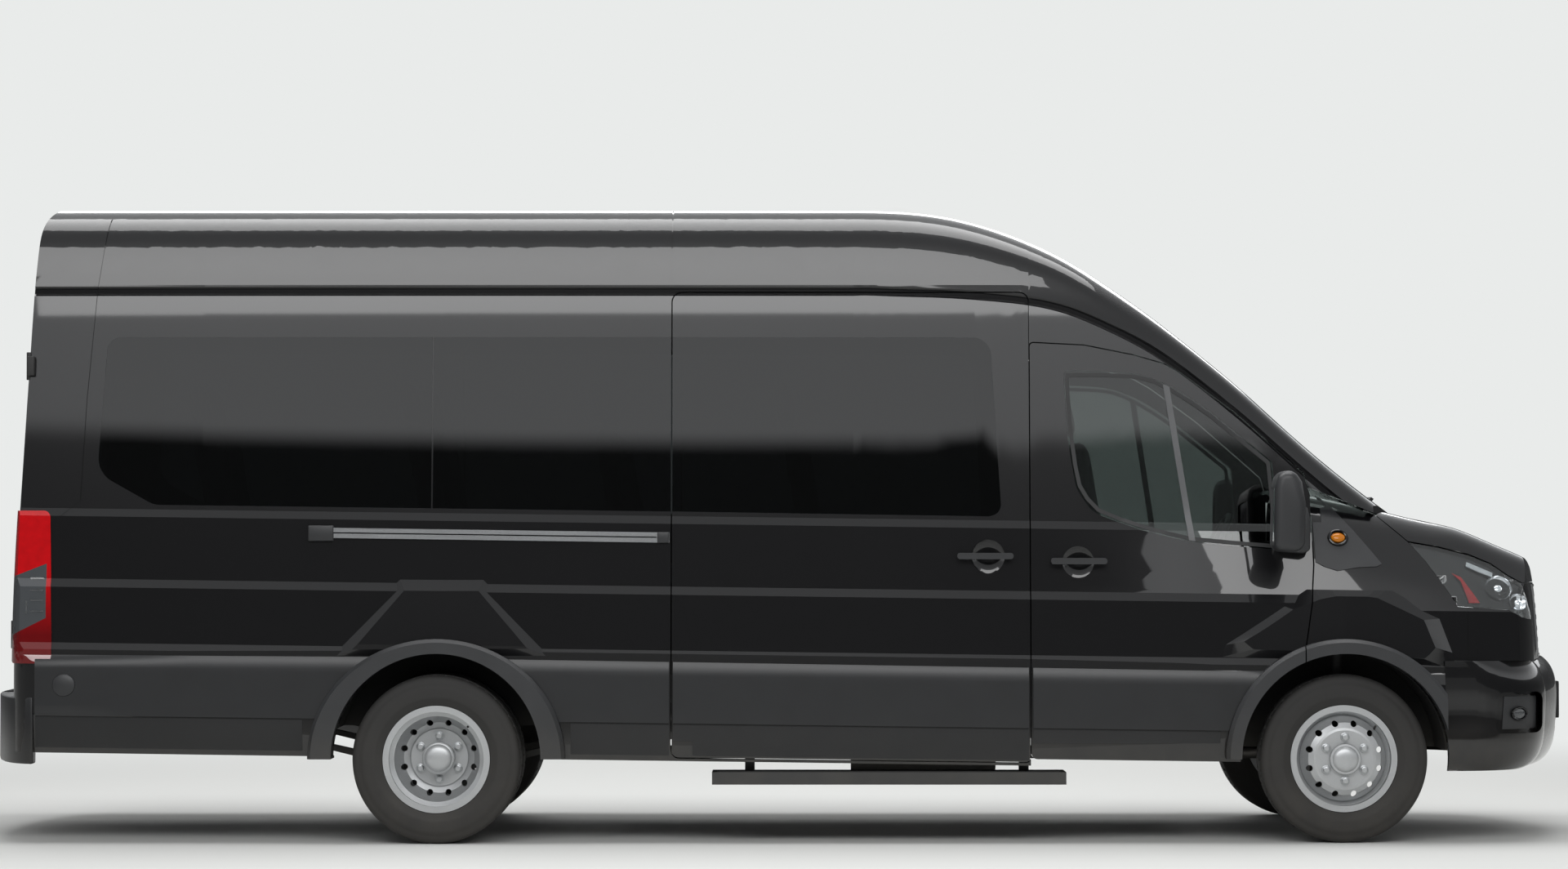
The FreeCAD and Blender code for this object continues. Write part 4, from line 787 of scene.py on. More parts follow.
# %% Nuts and caps
zinc = metal("zinc_plated_steel", "#b9bbbc", "#8f9294", 0.34, 0.10, (200.0, 200.0, 200.0), 0.04)
NUT_CIRCLE = 90.0 * MM
NUT_RADIUS = 15.0 * MM
NUT_HEIGHT = 22.0 * MM
FLANGE_HEIGHT = 4.0 * MM
RIGHT_TURN = math.radians(30.0)
QUARTER = math.radians(90.0)


def nut_ring(x, seat_y, turn):
    """Six flanged nuts on the circle, standing out from the seat towards the outside."""
    out = math.copysign(1.0, seat_y)
    at = (x + NUT_CIRCLE * math.cos(turn), AXLE_Z + NUT_CIRCLE * math.sin(turn))
    rings = []
    for corners, radius, tall in ((6, NUT_RADIUS, NUT_HEIGHT), (24, NUT_RADIUS * 1.28, FLANGE_HEIGHT)):
        place = (at[0], seat_y + out * tall / 2, at[1])
        rings.append(cylinder(corners, radius, tall, place, 1.6 * MM, QUARTER))
    nut = joined(rings)
    edit_all(nut)
    bpy.ops.mesh.spin(
        steps=6, angle=2.0 * math.pi, center=(x, seat_y, AXLE_Z), axis=(0.0, 1.0, 0.0), dupli=True)
    tidy_faces()
    leave()
    return nut


FRONT_DOME = [
    (64.5, -12.0), (64.5, 2.0), (62.0, 5.0), (54.0, 6.0), (52.0, 8.0), (48.0, 13.0), (38.0, 17.5),
    (22.0, 20.5), (0.0, 21.5),
]
REAR_DOME = [
    (67.0, -30.0), (67.0, 2.0), (64.0, 5.0), (58.0, 7.0), (52.0, 14.0), (40.0, 19.0), (22.0, 22.5),
    (0.0, 23.5),
]
# Name, body, x, nut seat, cap from the seat, the cap's section and the valve's y.
AXLES = [
    ("front_", "wheel_front_", FRONT_AXLE_X, 977.5 * MM, 18.0 * MM, FRONT_DOME, 945.0 * MM),
    ("rear_", "wheels_rear_", REAR_AXLE_X, 835.5 * MM, 68.0 * MM, REAR_DOME, 960.0 * MM),
]
VALVE_OUT = 128.0 * MM
VALVE_SLANT = math.radians(18.0)
for side, out, turn in (("left", 1.0, 0.0), ("right", -1.0, -RIGHT_TURN)):
    for place, body, x, seat, cap_from_seat, dome, valve_y in AXLES:
        ring = nut_ring(x, out * seat, turn)
        settle(ring, "wheel_nuts_" + place + side, zinc, body + side, 30.0)
        base = seat + cap_from_seat
        line = [(x, out * (base + y * MM), AXLE_Z + r * MM) for r, y in dome]
        cap = spun(line, 64, (x, 0.0, AXLE_Z))
        settle(cap, "hub_cap_" + place + side, silver, body + side, 30.0)
        valve_at = (x + VALVE_OUT, out * valve_y, AXLE_Z + VALVE_OUT)
        valve = cylinder(16, 5.0 * MM, 42.0 * MM, valve_at, 1.5 * MM, QUARTER + out * VALVE_SLANT)
        settle(valve, "valve_" + place + side, rubber, body + side)
print("wheels dressed")

# %% [markdown]
# ## Door window frame and division bar
# The front door's pane is split by an upright bar into a sliding part and a fixed corner, and a black
# rubber seal runs round it. Both follow the glass, so both are laid on its skin. The outline is the
# pane's own, in metres, and the seal is what an inset leaves of it.

# %% Seal and bar on the front door glass
DOOR_PANE = [
    (1.180, 1.945), (1.330, 1.946), (1.440, 1.942), (1.500, 1.934), (1.560, 1.915), (1.620, 1.886),
    (1.700, 1.838), (1.780, 1.783), (1.900, 1.686), (2.028, 1.582), (2.034, 1.570), (2.066, 1.228),
    (2.055, 1.218), (1.880, 1.232), (1.700, 1.249), (1.600, 1.272), (1.500, 1.298), (1.400, 1.332),
    (1.310, 1.370), (1.262, 1.420), (1.230, 1.475), (1.212, 1.560), (1.196, 1.680), (1.184, 1.830),
]
BAR = [(1.588, 1.900), (1.615, 1.890), (1.716, 1.247), (1.690, 1.250)]
SIDES = (("right", -1.0), ("left", 1.0))
BESIDE = 1.5
seal_rubber = grained("extruded_window_rubber", "#17181a", "#0e0f10", 0.5, 0.05)
# The bar is satin black; its mid grey colour is a painted sheen, the room's reflection painted into it.
black_bar_painted_sheen = grained("black_window_bar_painted_sheen", "#5a5b5d", "#47484a", 0.4, 0.03)
for side, out in SIDES:
    glass = nodes["door_glass_" + side]
    body = "front_door_" + side
    seal = laid(DOOR_PANE, glass, 0.3 * MM, 2.0 * MM, frame_width=16.0 * MM, start=out * BESIDE)
    settle(seal, "window_seal_" + side, seal_rubber, body)
    bar = laid(BAR, glass, 0.3 * MM, 3.0 * MM, start=out * BESIDE, cell=0.05)
    settle(bar, "window_bar_" + side, black_bar_painted_sheen, body)
print("door windows framed")

# %% [markdown]
# ## Corner trim with the side marker
# At the foot of each windscreen pillar a three-cornered black trim covers the seam of fender and
# pillar. An amber side marker stands on it: an oval dome in a raised oval bezel. Both ovals are
# round shapes, spun and then squeezed along one side.

# %% Corner trim and amber marker
TRIM = [
    (2.197, 1.486), (2.232, 1.452), (2.300, 1.380), (2.380, 1.290), (2.450, 1.205), (2.492, 1.152),
    (2.470, 1.141), (2.393, 1.138), (2.305, 1.124), (2.252, 1.141), (2.215, 1.161), (2.211, 1.300),
]
MARKER_AT = (2.312, 1.259)
BEZEL = [(0.0, 0.0), (44.0, 0.0), (44.0, 4.0), (41.0, 8.5), (36.0, 10.0), (31.5, 8.0), (30.0, 3.0)]
LENS = [(30.0, 1.0), (29.5, 6.0), (26.0, 10.0), (18.0, 13.5), (9.0, 15.2), (0.0, 15.8)]


def oval(line, place, normal, squeeze):
    """Spins a line of (radius, height) round the skin's normal and squeezes it upright."""
    piece = spun([(r * MM, 0.0, h * MM) for r, h in line], 48, axis=(0.0, 0.0, 1.0))
    piece.scale = (1.0, squeeze, 1.0)
    apply_place(piece)
    piece.rotation_euler = normal.to_track_quat("Z", "Y").to_euler()
    piece.location = place
    return piece


for side, out in SIDES:
    fender = nodes["fenders"]
    trim = laid(TRIM, fender, 0.4 * MM, 4.0 * MM, start=out * BESIDE, cell=0.05)
    settle(trim, "pillar_trim_" + side, arch_plastic, "body")
    place, normal = skin_at(fender, MARKER_AT[0], MARKER_AT[1], out)
    place = place + normal * 4.0 * MM
    bezel = oval(BEZEL, place, normal, 0.87)
    settle(bezel, "marker_bezel_" + side, gloss_plastic, "body")
    lens = oval(LENS, place, normal, 0.72)
    settle(lens, "marker_lens_" + side, amber_acrylic, "body")
print("corner trims laid")

# %% [markdown]
# ## Door mirrors
# A van's mirror has a tall housing, rounded all over, a flat glass set into its rear, and three arms
# to a foot on the door. The housing starts as its side outline, extruded across and rounded with a
# wide bevel, and its rear is inset and pushed in for the glass.

# %% Mirrors
HEAD = [
    (2.002, 1.210), (2.008, 1.470), (2.022, 1.528), (2.085, 1.538), (2.118, 1.490), (2.134, 1.400),
    (2.130, 1.240), (2.112, 1.202),
]
FOOT = [
    (2.046, 1.205), (2.064, 1.360), (2.090, 1.388), (2.176, 1.392), (2.190, 1.330), (2.188, 1.210),
    (2.160, 1.196),
]
ARM_LEVELS = (1.236, 1.292, 1.352)
HEAD_Y, HEAD_WIDTH = 1.112, 0.204
FOOT_Y, FOOT_WIDTH = 0.900, 0.085
for side, out in SIDES:
    body = "front_door_" + side
    head = extruded([(x, out * HEAD_Y, z) for x, z in HEAD], (0.0, out * HEAD_WIDTH, 0.0), 34.0 * MM, 6)
    apply_modifiers(head)
    bpy.ops.object.mode_set(mode="EDIT")
    bpy.ops.mesh.select_all(action="DESELECT")
    mesh = bmesh.from_edit_mesh(head.data)
    rear = max((f for f in mesh.faces if f.normal.x < -0.9), key=lambda f: f.calc_area())
    rear.select = True
    bmesh.update_edit_mesh(head.data)
    bpy.ops.mesh.inset(thickness=3.0 * MM, depth=0.0)
    bpy.ops.mesh.inset(thickness=2.0 * MM, depth=-7.0 * MM)
    corners = [tuple(v.co) for f in bmesh.from_edit_mesh(head.data).faces if f.select for v in f.verts]
    leave()
    settle(head, "mirror_head_" + side, mirror_plastic, body, 30.0)
    glass = draw(corners, closed=True)
    leave()
    settle(walled(glass, 3.0 * MM, 0.0), "mirror_glass_" + side, chrome, body)
    y0, y1 = sorted((out * 0.940, out * 1.125))
    arms = joined([block((2.080, y0, z), (2.112, y1, z + 0.020), 6.0 * MM, 3) for z in ARM_LEVELS])
    settle(arms, "mirror_arms_" + side, arch_plastic, body)
    foot = extruded([(x, out * FOOT_Y, z) for x, z in FOOT], (0.0, out * FOOT_WIDTH, 0.0), 12.0 * MM, 4)
    settle(foot, "mirror_foot_" + side, arch_plastic, body)
    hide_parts("mirror_" + side)
print("mirrors built")

# %% [markdown]
# ## Rail ends and side cladding
# The sliding door's aluminium rail ends in two black stops, and a slot runs along its middle. Below
# the flank's lowest crease satin cladding covers the side, with a round shoulder along its top, and
# a matt skirt closes the sill below it. Both are separate sheets on each door, so that they swing
# with it, and next to a wheel the sheet ends under the arch moulding, along a half oval.

# %% Rail stops and slot
stops = joined([
    block((-1.955, -0.992, 1.248), (-1.850, -0.945, 1.312), 5.0 * MM, 3),
    block((-0.512, -0.990, 1.240), (-0.463, -0.945, 1.285), 5.0 * MM, 3),
])
settle(stops, "rail_stops", mirror_plastic, "body")
# The slot is a gloss black strip along the rail: painted shade where the slot opens.
slot_line = [(-1.850, 1.2796), (-0.514, 1.2609), (-0.514, 1.2659), (-1.850, 1.2846)]
slot = extruded([(x, -0.984, z) for x, z in slot_line], (0.0, -2.2 * MM, 0.0))
settle(slot, "rail_slot_painted_shade", gloss_plastic, "body")

# %% Side cladding and skirt
SILL_TOP = 0.487
SILL_FOOT = 0.358
SILL_FALL = 0.0131
SILL_GAP = 4.0 * MM
SHOULDER_DROP = 0.045
SHOULDER_OUT = 11.0 * MM
WHEEL_CENTRE_Z = 0.352
REAR_ARCH = (-1.4215, 0.490, 0.465)
FRONT_ARCH = (2.3285, 0.460, 0.465)
ARCH_TOP_REACH = 0.25


def seam_height(x):
    """Height of the seam between enamel and cladding: level behind the rear wheel, falling ahead of it."""
    return 0.7586 - 0.0063 * x if x < -1.6 else 0.741 - 0.0159 * x


def sheet_end(end, steps=7):
    """Points up one end of a sheet, straight or along the half oval under an arch moulding."""
    if isinstance(end, float):
        return [(end, SILL_TOP + SILL_GAP - SILL_FALL * end), (end, seam_height(end))]
    (middle, long, tall), way = end[:2]
    low = SILL_TOP + SILL_GAP - SILL_FALL * (middle + way * long)
    high = seam_height(middle + way * ARCH_TOP_REACH)
    line = []
    for i in range(steps + 1):
        z = low + (high - low) * i / steps
        line.append((middle + way * long * math.sqrt(1.0 - ((z - WHEEL_CENTRE_Z) / tall) ** 2), z))
    return line


def shoulder(sheet):
    """Pushes a sheet outwards below its top line, so that it gets a round shoulder there."""
    for vertex in sheet.data.vertices:
        drop = (seam_height(vertex.co.x) - vertex.co.z) / SHOULDER_DROP
        push = SHOULDER_OUT * math.sin(min(1.0, max(0.0, drop)) * math.pi / 2)
        vertex.co.y += math.copysign(push, vertex.co.y)


# An end at a wheel is its arch, the way from the wheel's middle, and where the skirt stops.
BEHIND_REAR_WHEEL = (REAR_ARCH, -1.0, -1.975)
AHEAD_OF_REAR_WHEEL = (REAR_ARCH, 1.0, -0.868)
BEHIND_FRONT_WHEEL = (FRONT_ARCH, -1.0, 1.812)
# Label, node, body, rear end, front end and side.
CLADDING = [
    ("rear_quarter_right", "side_panel_right", "body", -3.078, BEHIND_REAR_WHEEL, -1.0),
    ("rear_quarter_left", "side_panel_left", "body", -3.078, BEHIND_REAR_WHEEL, 1.0),
    ("behind_slider", "side_panel_right", "body", AHEAD_OF_REAR_WHEEL, -0.462, -1.0),
    ("slider", "sliding_door", "body", -0.446, 1.022, -1.0),
    ("left_middle", "side_panel_left", "body", AHEAD_OF_REAR_WHEEL, 1.022, 1.0),
    ("door_right", "front_door_right", "front_door_right", 1.040, BEHIND_FRONT_WHEEL, -1.0),
    ("door_left", "front_door_left", "front_door_left", 1.040, BEHIND_FRONT_WHEEL, 1.0),
]
for label, node, body, rear_end, front_end, out in CLADDING:
    outline = sheet_end(rear_end) + sheet_end(front_end)[::-1]
    sheet = laid(outline, nodes[node], 0.3 * MM, 2.5 * MM, start=out * BESIDE, cell=0.03)
    shoulder(sheet)
    settle(sheet, "side_cladding_" + label, cladding_plastic, body, 50.0)
    x0, x1 = [end if isinstance(end, float) else end[2] for end in (rear_end, front_end)]
    outline = [
        (x0, SILL_FOOT - SILL_FALL * x0), (x0, SILL_TOP - SILL_FALL * x0), (x1, SILL_TOP - SILL_FALL * x1),
        (x1, SILL_FOOT - SILL_FALL * x1),
    ]
    sheet = laid(outline, nodes[node], 0.3 * MM, 2.5 * MM, start=out * BESIDE, cell=0.08)
    settle(sheet, "sill_skirt_" + label, skirt_plastic, body)
print("sides clad")

# %% [markdown]
# ## Headlamps
# A headlamp is a clear moulded cover over a black housing with two chromed bowls, a light strip and
# a red side reflector. The frame's lamp is a thick solid, so its outer faces are copied, merged and
# given a wall of 3 mm. Strip and reflector are laid on the same skin and sunk below the cover.

# %% Clear cover from the frame's own outer faces
COVER_WALL = 3.0 * MM
NOSE_MIDDLE = Vector((2.55, 0.0, 1.05))


def outer_skin(node, middle, least=0.45):
    """Copy of the faces of a node that look away from a middle point, merged into one sheet."""
    sheet = twin_of(nodes[node])
    edit_all(sheet)
    bpy.ops.mesh.remove_doubles(threshold=0.05 * MM)

    def looks_inwards(face):
        c = face.calc_center_median()
        away = Vector((c.x - middle.x, c.y * 0.9, c.z - middle.z)).normalized()
        return face.normal.dot(away) < least

    pick(sheet, "faces", looks_inwards)
    bpy.ops.mesh.delete(type="FACE")
    leave()
    return sheet


cover = walled(outer_skin("headlamps", NOSE_MIDDLE), COVER_WALL, -1.0)
settle(cover, "headlamp_covers", clear_acrylic, "body", 30.0)
print("cover faces", len(cover.data.polygons))

# %% Bowls, light strip and reflector behind each cover
STRIP = [(2.853, 1.158), (2.905, 1.136), (2.960, 1.112), (2.957, 1.095), (2.900, 1.117), (2.848, 1.141)]
REFLECTOR = [(2.787, 1.112), (2.824, 1.096), (2.917, 0.962), (2.862, 0.960), (2.822, 1.080)]
BOWL = [
    (56.0, 0.0), (52.0, -8.0), (44.0, -15.0), (33.0, -20.0), (22.0, -22.5), (21.0, -14.0), (14.0, -6.5),
    (7.0, -4.0), (0.0, -3.2),
]
# x, z and size of each bowl.
BOWL_PLACES = [(2.983, 1.058, 1.0), (3.060, 0.998, 0.66)]
BOWL_SUNK = 9.0 * MM
lit_plastic = acrylic("frosted_light_guide", "#e4e8ea", "#d2d7da", 0.25)
for side, out in SIDES:
    strip = laid(STRIP, nodes["headlamps"], -12.0 * MM, 4.0 * MM, start=out * BESIDE, cell=0.03)
    settle(strip, "light_strip_" + side, lit_plastic, "body")
    reflector = laid(REFLECTOR, nodes["headlamps"], -11.0 * MM, 3.0 * MM, start=out * BESIDE, cell=0.03)
    settle(reflector, "side_reflector_" + side, red_acrylic, "body")
    for number, (x, z, size) in enumerate(BOWL_PLACES, 1):
        place, normal = skin_at(nodes["headlamps"], x, z, out)
        bowl = oval([(r * size, h * size) for r, h in BOWL], place - normal * BOWL_SUNK, normal, 1.0)
        settle(bowl, "lamp_bowl_%s_%d" % (side, number), chrome, "body", 30.0)
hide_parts("headlamps")
print("headlamps filled")

# %% [markdown]
# ## Tail lamps
# The tail lamp is one red moulding with a clear grey window for the reversing lamp, and its red is
# painted darker towards the bottom, to deep red, as painted shade. The window is a slanted field that
# leaves a red edge ahead of it. The colours and the painted shade go by place, so one material holds
# them. The window gets four level ribs and an upright one.

# %% Tail lamp colours with painted shade
WINDOW_REAR = -3.1416
WINDOW_FRONT = -3.038
WINDOW_FOOT = (0.8785, 0.50)
WINDOW_TOP = (1.1145, 0.39)
RED_SHADE_FOOT, RED_SHADE_TOP = 0.86, 1.12
tail_acrylic, tree, shader = new_material("tail_lamp_acrylic_with_painted_shade", {"Coat Weight": 1.0})
where = add(tree, "ShaderNodeTexCoord")
axes = add(tree, "ShaderNodeSeparateXYZ", {"Vector": where.outputs["Object"]})
flow = add(tree, "ShaderNodeTexNoise", {
    "Vector": place_on(tree, 1.0 / MOULD_FLOW), "Scale": 1.0, "Detail": 2.0,
})
along = add(tree, "ShaderNodeMath", {0: axes.outputs["X"], 1: WINDOW_REAR}, operation="SUBTRACT")
foot, top = [
    add(tree, "ShaderNodeMath", {0: along.outputs["Value"], 1: slope, 2: level}, operation="MULTIPLY_ADD")
    for level, slope in (WINDOW_FOOT, WINDOW_TOP)
]
above = add(tree, "ShaderNodeMath", {0: axes.outputs["Z"], 1: foot.outputs["Value"]}, operation="GREATER_THAN")
below = add(tree, "ShaderNodeMath", {0: axes.outputs["Z"], 1: top.outputs["Value"]}, operation="LESS_THAN")
behind_edge = add(tree, "ShaderNodeMath", {0: axes.outputs["X"], 1: WINDOW_FRONT}, operation="LESS_THAN")
between = add(tree, "ShaderNodeMath", {
    0: above.outputs["Value"], 1: below.outputs["Value"],
}, operation="MULTIPLY")
window = add(tree, "ShaderNodeMath", {
    0: between.outputs["Value"], 1: behind_edge.outputs["Value"],
}, operation="MULTIPLY")
red_melt = add(tree, "ShaderNodeMix", {
    "Factor": flow.outputs["Fac"], 6: linear("#d60f17"), 7: linear("#b70b12"),
}, data_type="RGBA")
# Painted shade: the red darkens from 1.12 m down to deep red at 0.86 m and below.
depth = add(tree, "ShaderNodeMapRange", {
    "Value": axes.outputs["Z"], "From Min": RED_SHADE_FOOT, "From Max": RED_SHADE_TOP,
})
reds = add(tree, "ShaderNodeMix", {
    "Factor": depth.outputs["Result"], 6: linear("#6d090d"), 7: red_melt.outputs[2],
}, data_type="RGBA")
whole = add(tree, "ShaderNodeMix", {
    "Factor": window.outputs["Value"], 6: reds.outputs[2], 7: linear("#4d5053"),
}, data_type="RGBA")
rough = add(tree, "ShaderNodeMapRange", {"Value": flow.outputs["Fac"], "To Min": 0.02, "To Max": 0.10})
feed(tree, shader, {"Base Color": whole.outputs[2], "Roughness": rough.outputs["Result"]})
for slot in nodes["tail_lamps"].material_slots:
    slot.material = tail_acrylic
RIB_LEVELS = (0.9545, 1.0000, 1.0410, 1.0900)
RIBS = [[(-3.104, z), (-3.104, z + 0.007), (-3.048, z + 0.007), (-3.048, z)] for z in RIB_LEVELS]
RIBS.append([(-3.122, 0.947), (-3.122, 1.003), (-3.114, 1.003), (-3.114, 0.947)])
for side, out in SIDES:
    ribs = [laid(rib, nodes["tail_lamps"], 0.2 * MM, 1.5 * MM, start=out * BESIDE, cell=0.03) for rib in RIBS]
    settle(joined(ribs), "tail_lamp_ribs_" + side, smoked_acrylic, "body")
print("tail lamps coloured")

# %% [markdown]
# ## Fog lamps
# A fog lamp sits in each corner pocket of the bumper: a black plate with a slim oval bezel and a
# clear lens. The plate is laid on the pocket's floor, and the lens is spun and squeezed.

# %% Fog lamps
PLATE = [(2.985, 0.468), (3.150, 0.468), (3.150, 0.603), (2.994, 0.603)]
PLATE_WALL = 3.0 * MM
FOG_AT = (3.060, 0.532)
FOG_BEZEL = [(0.0, 0.0), (47.0, 0.0), (47.0, 9.0), (43.0, 12.0), (38.0, 10.0), (36.0, 3.0)]
FOG_LENS = [(36.0, 2.0), (34.0, 6.0), (24.0, 9.5), (12.0, 11.0), (0.0, 11.5)]
for side, out in SIDES:
    plate = laid(PLATE, nodes["front_bumper"], 0.3 * MM, PLATE_WALL, start=out * BESIDE, cell=0.03)
    settle(plate, "fog_plate_" + side, arch_plastic, "body")
    place, normal = skin_at(nodes["front_bumper"], FOG_AT[0], FOG_AT[1], out)
    place = place + normal * PLATE_WALL
    bezel = oval(FOG_BEZEL, place, normal, 0.62)
    settle(bezel, "fog_bezel_" + side, gloss_plastic, "body")
    lens = oval(FOG_LENS, place, normal, 0.60)
    settle(lens, "fog_lens_" + side, smoked_acrylic, "body")
print("fog lamps set")

# %% [markdown]
# ## Rear bumper
# The bumper is a deep satin moulding in two steps: a lower shell with a bowed plan that wraps both
# corners, and above it, on each corner, an upper step that stands back to let the doors swing. Its
# middle carries a ribbed tread. Each half outline is drawn once in plan and mirrored.

# %% Stepped bumper with a tread
SHELL_OUT = [
    (0.0, -3.3515), (0.25, -3.3425), (0.45, -3.320), (0.65, -3.282), (0.80, -3.240), (0.88, -3.208),
    (0.94, -3.172), (0.985, -3.130), (1.005, -3.100), (1.008, -3.086),
]
SHELL_IN = [(0.930, -3.086), (0.915, -3.110), (0.80, -3.152), (0.45, -3.222), (0.0, -3.245)]
STEP_OUT = [(0.825, -3.192), (0.88, -3.166), (0.94, -3.136), (0.982, -3.108), (1.000, -3.092), (1.003, -3.086)]
STEP_IN = [(0.930, -3.086), (0.915, -3.105), (0.825, -3.135)]
SHELL_FOOT, SHELL_TALL = 0.328, 0.277
STEP_FOOT, STEP_TALL = 0.598, 0.135
half_ring = SHELL_OUT[1:] + SHELL_IN[:-1]
ring = [(x, -y) for y, x in SHELL_OUT[::-1]] + [(x, y) for y, x in half_ring]
ring += [(x, -y) for y, x in SHELL_IN[::-1]]
shell = extruded([(x, y, SHELL_FOOT) for x, y in ring], (0.0, 0.0, SHELL_TALL), 9.0 * MM, 3)
corners = []
for side, out in SIDES:
    plan = [(x, out * y, STEP_FOOT) for y, x in STEP_OUT + STEP_IN]
    corners.append(extruded(plan, (0.0, 0.0, STEP_TALL), 8.0 * MM, 3))
bumper = joined([shell] + corners)
settle(bumper, "rear_bumper_shell", bumper_plastic, "body", 40.0)
tread = [block((-3.318, -0.420, 0.603), (-3.255, 0.420, 0.6065), 1.0 * MM)]
for k in range(5):
    x = -3.310 + 0.012 * k
    tread.append(block((x, -0.410, 0.604), (x + 0.005, 0.410, 0.6095), 1.0 * MM))
settle(joined(tread), "rear_bumper_tread", skirt_plastic, "body")
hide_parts("rear_bumper")
print("rear bumper shaped")

# %% [markdown]
# ## Rear of the vehicle
# The two rear doors hang on black hinges at both corners and close with an upright handle on two
# feet. A blank plate stands under two small lamps, and a slim stop lamp stands over the doors.
# Places on the doors are found by a ray from behind.

# %% Rear door hinges, handle, plate and stop lamp
HINGE_LEVELS = (0.860, 1.975)
HINGE_Y = 0.886
PIN_Y = 0.884
PIN_RADIUS = 10.0 * MM
PIN_TALL = 115.0 * MM
PIN_BEHIND = 6.0 * MM
plate_enamel = grained("blank_plate_enamel", "#c9cccd", "#b9bcbd", 0.45, 0.02)


def behind(node, y, z):
    """Place on a node's rear skin, straight ahead of a point behind the vehicle, or None."""
    hit, place = nodes[node].ray_cast(Vector((-4.0, y, z)), Vector((1.0, 0.0, 0.0)))[:2]
    return place if hit else None


def outer_edge(node, out, z, start=0.90, step=0.004):
    """Widest place across at which a ray from behind still meets a node."""
    y = start
    while behind(node, out * y, z) is None:
        y -= step
    return y


def stands_out(node, spot, y_range, z_range, out, depth, bevel, segments=3):
    """Block that stands out behind a node's skin and reaches a little into it, at a spot (y, z)."""
    x = behind(node, *spot).x
    return block((x - out, y_range[0], z_range[0]), (x + depth, y_range[1], z_range[1]), bevel, segments)


for side, out in SIDES:
    panel, door = "side_panel_" + side, "rear_door_" + side
    pins = []
    leaves = []
    for level in HINGE_LEVELS:
        spot = (out * HINGE_Y, level)
        pin_at = (behind(panel, *spot).x - PIN_BEHIND, out * PIN_Y, level)
        pins.append(cylinder(24, PIN_RADIUS, PIN_TALL, pin_at, 2.0 * MM))
        across = sorted((out * HINGE_Y, out * 0.918))
        pins.append(stands_out(panel, spot, across, (level - 0.040, level + 0.040), 0.009, 0.020, 3.0 * MM))
        edge = outer_edge(door, out, level)
        across = sorted((out * (edge - 0.120), out * (edge - 0.006)))
        spot = (out * (edge - 0.055), level)
        leaves.append(stands_out(door, spot, across, (level - 0.030, level + 0.030), 0.009, 0.010, 4.0 * MM))
    settle(joined(pins), "rear_hinge_pins_" + side, chassis_paint, "body")
    settle(joined(leaves), "rear_hinge_leaves_" + side, chassis_paint, door)

DOOR = "rear_door_right"
HANDLE_Y = -0.110
HANDLE_MIDDLE = 1.255
HANDLE_FEET = (1.190, 1.320)
skin = behind(DOOR, HANDLE_Y, HANDLE_MIDDLE)
low = (skin.x - 0.042, HANDLE_Y - 0.015, 1.172)
parts = [block(low, (skin.x - 0.026, HANDLE_Y + 0.015, 1.338), 6.0 * MM, 4)]
for level in HANDLE_FEET:
    across = (HANDLE_Y - 0.011, HANDLE_Y + 0.011)
    tall = (level - 0.016, level + 0.016)
    parts.append(stands_out(DOOR, (HANDLE_Y, level), across, tall, 0.032, 0.004, 4.0 * MM))
settle(joined(parts), "rear_handle", mirror_plastic, DOOR)

PLATE_LOW, PLATE_HIGH = 0.985, 1.105
PLATE_MIDDLE_Y = -0.40
LAMP_LEVEL = 1.130
skins = [behind(DOOR, PLATE_MIDDLE_Y, level).x for level in (PLATE_HIGH, PLATE_LOW)]
plate = block(
    (min(skins) - 0.004, -0.660, PLATE_LOW), (max(skins) + 0.002, -0.140, PLATE_HIGH), 1.5 * MM)
settle(plate, "number_plate_rear", plate_enamel, DOOR)
lamps = []
for y in (-0.520, -0.280):
    across = (y - 0.045, y + 0.045)
    lamps.append(stands_out(DOOR, (y, LAMP_LEVEL), across, (1.116, 1.142), 0.022, 0.004, 5.0 * MM))
settle(joined(lamps), "plate_lamps", gloss_plastic, DOOR)

STOP_FRAME = [(-0.190, 2.478), (0.190, 2.478), (0.190, 2.516), (-0.190, 2.516)]
STOP_LENS = [(-0.176, 2.486), (0.176, 2.486), (0.176, 2.508), (-0.176, 2.508)]
frame_sheet = laid(STOP_FRAME, nodes["roof"], 0.3 * MM, 4.0 * MM, start=-4.0, cell=0.05, axis="X")
settle(frame_sheet, "stop_lamp_frame", gloss_plastic, "body")
lens_sheet = laid(STOP_LENS, nodes["roof"], 0.5 * MM, 8.0 * MM, start=-4.0, cell=0.05, axis="X")
settle(lens_sheet, "stop_lamp_lens", red_acrylic, "body")
print("rear fittings placed")

# %% Round cap on each rear quarter
CAP_AT = (-2.958, 0.654)
CAP = [(47.0, -6.0), (47.0, 2.0), (45.0, 6.0), (40.0, 8.5), (26.0, 11.0), (11.0, 13.0), (0.0, 13.4)]
for side, out in SIDES:
    place, normal = skin_at(nodes["side_panel_" + side], CAP_AT[0], CAP_AT[1], out)
    cap = oval(CAP, place + normal * (SHOULDER_OUT + 1.0 * MM), normal, 1.0)
    settle(cap, "round_cap_" + side, mirror_plastic, "body", 30.0)
print("round caps set")

# %% [markdown]
# ## Front of the vehicle
# Two wipers rest on the windscreen, each a blade with a thin arm to a pivot cap at the glass's foot.
# The grille gets a bright frame that follows its curved face, and a blank plate stands in a black
# holder on the bumper.

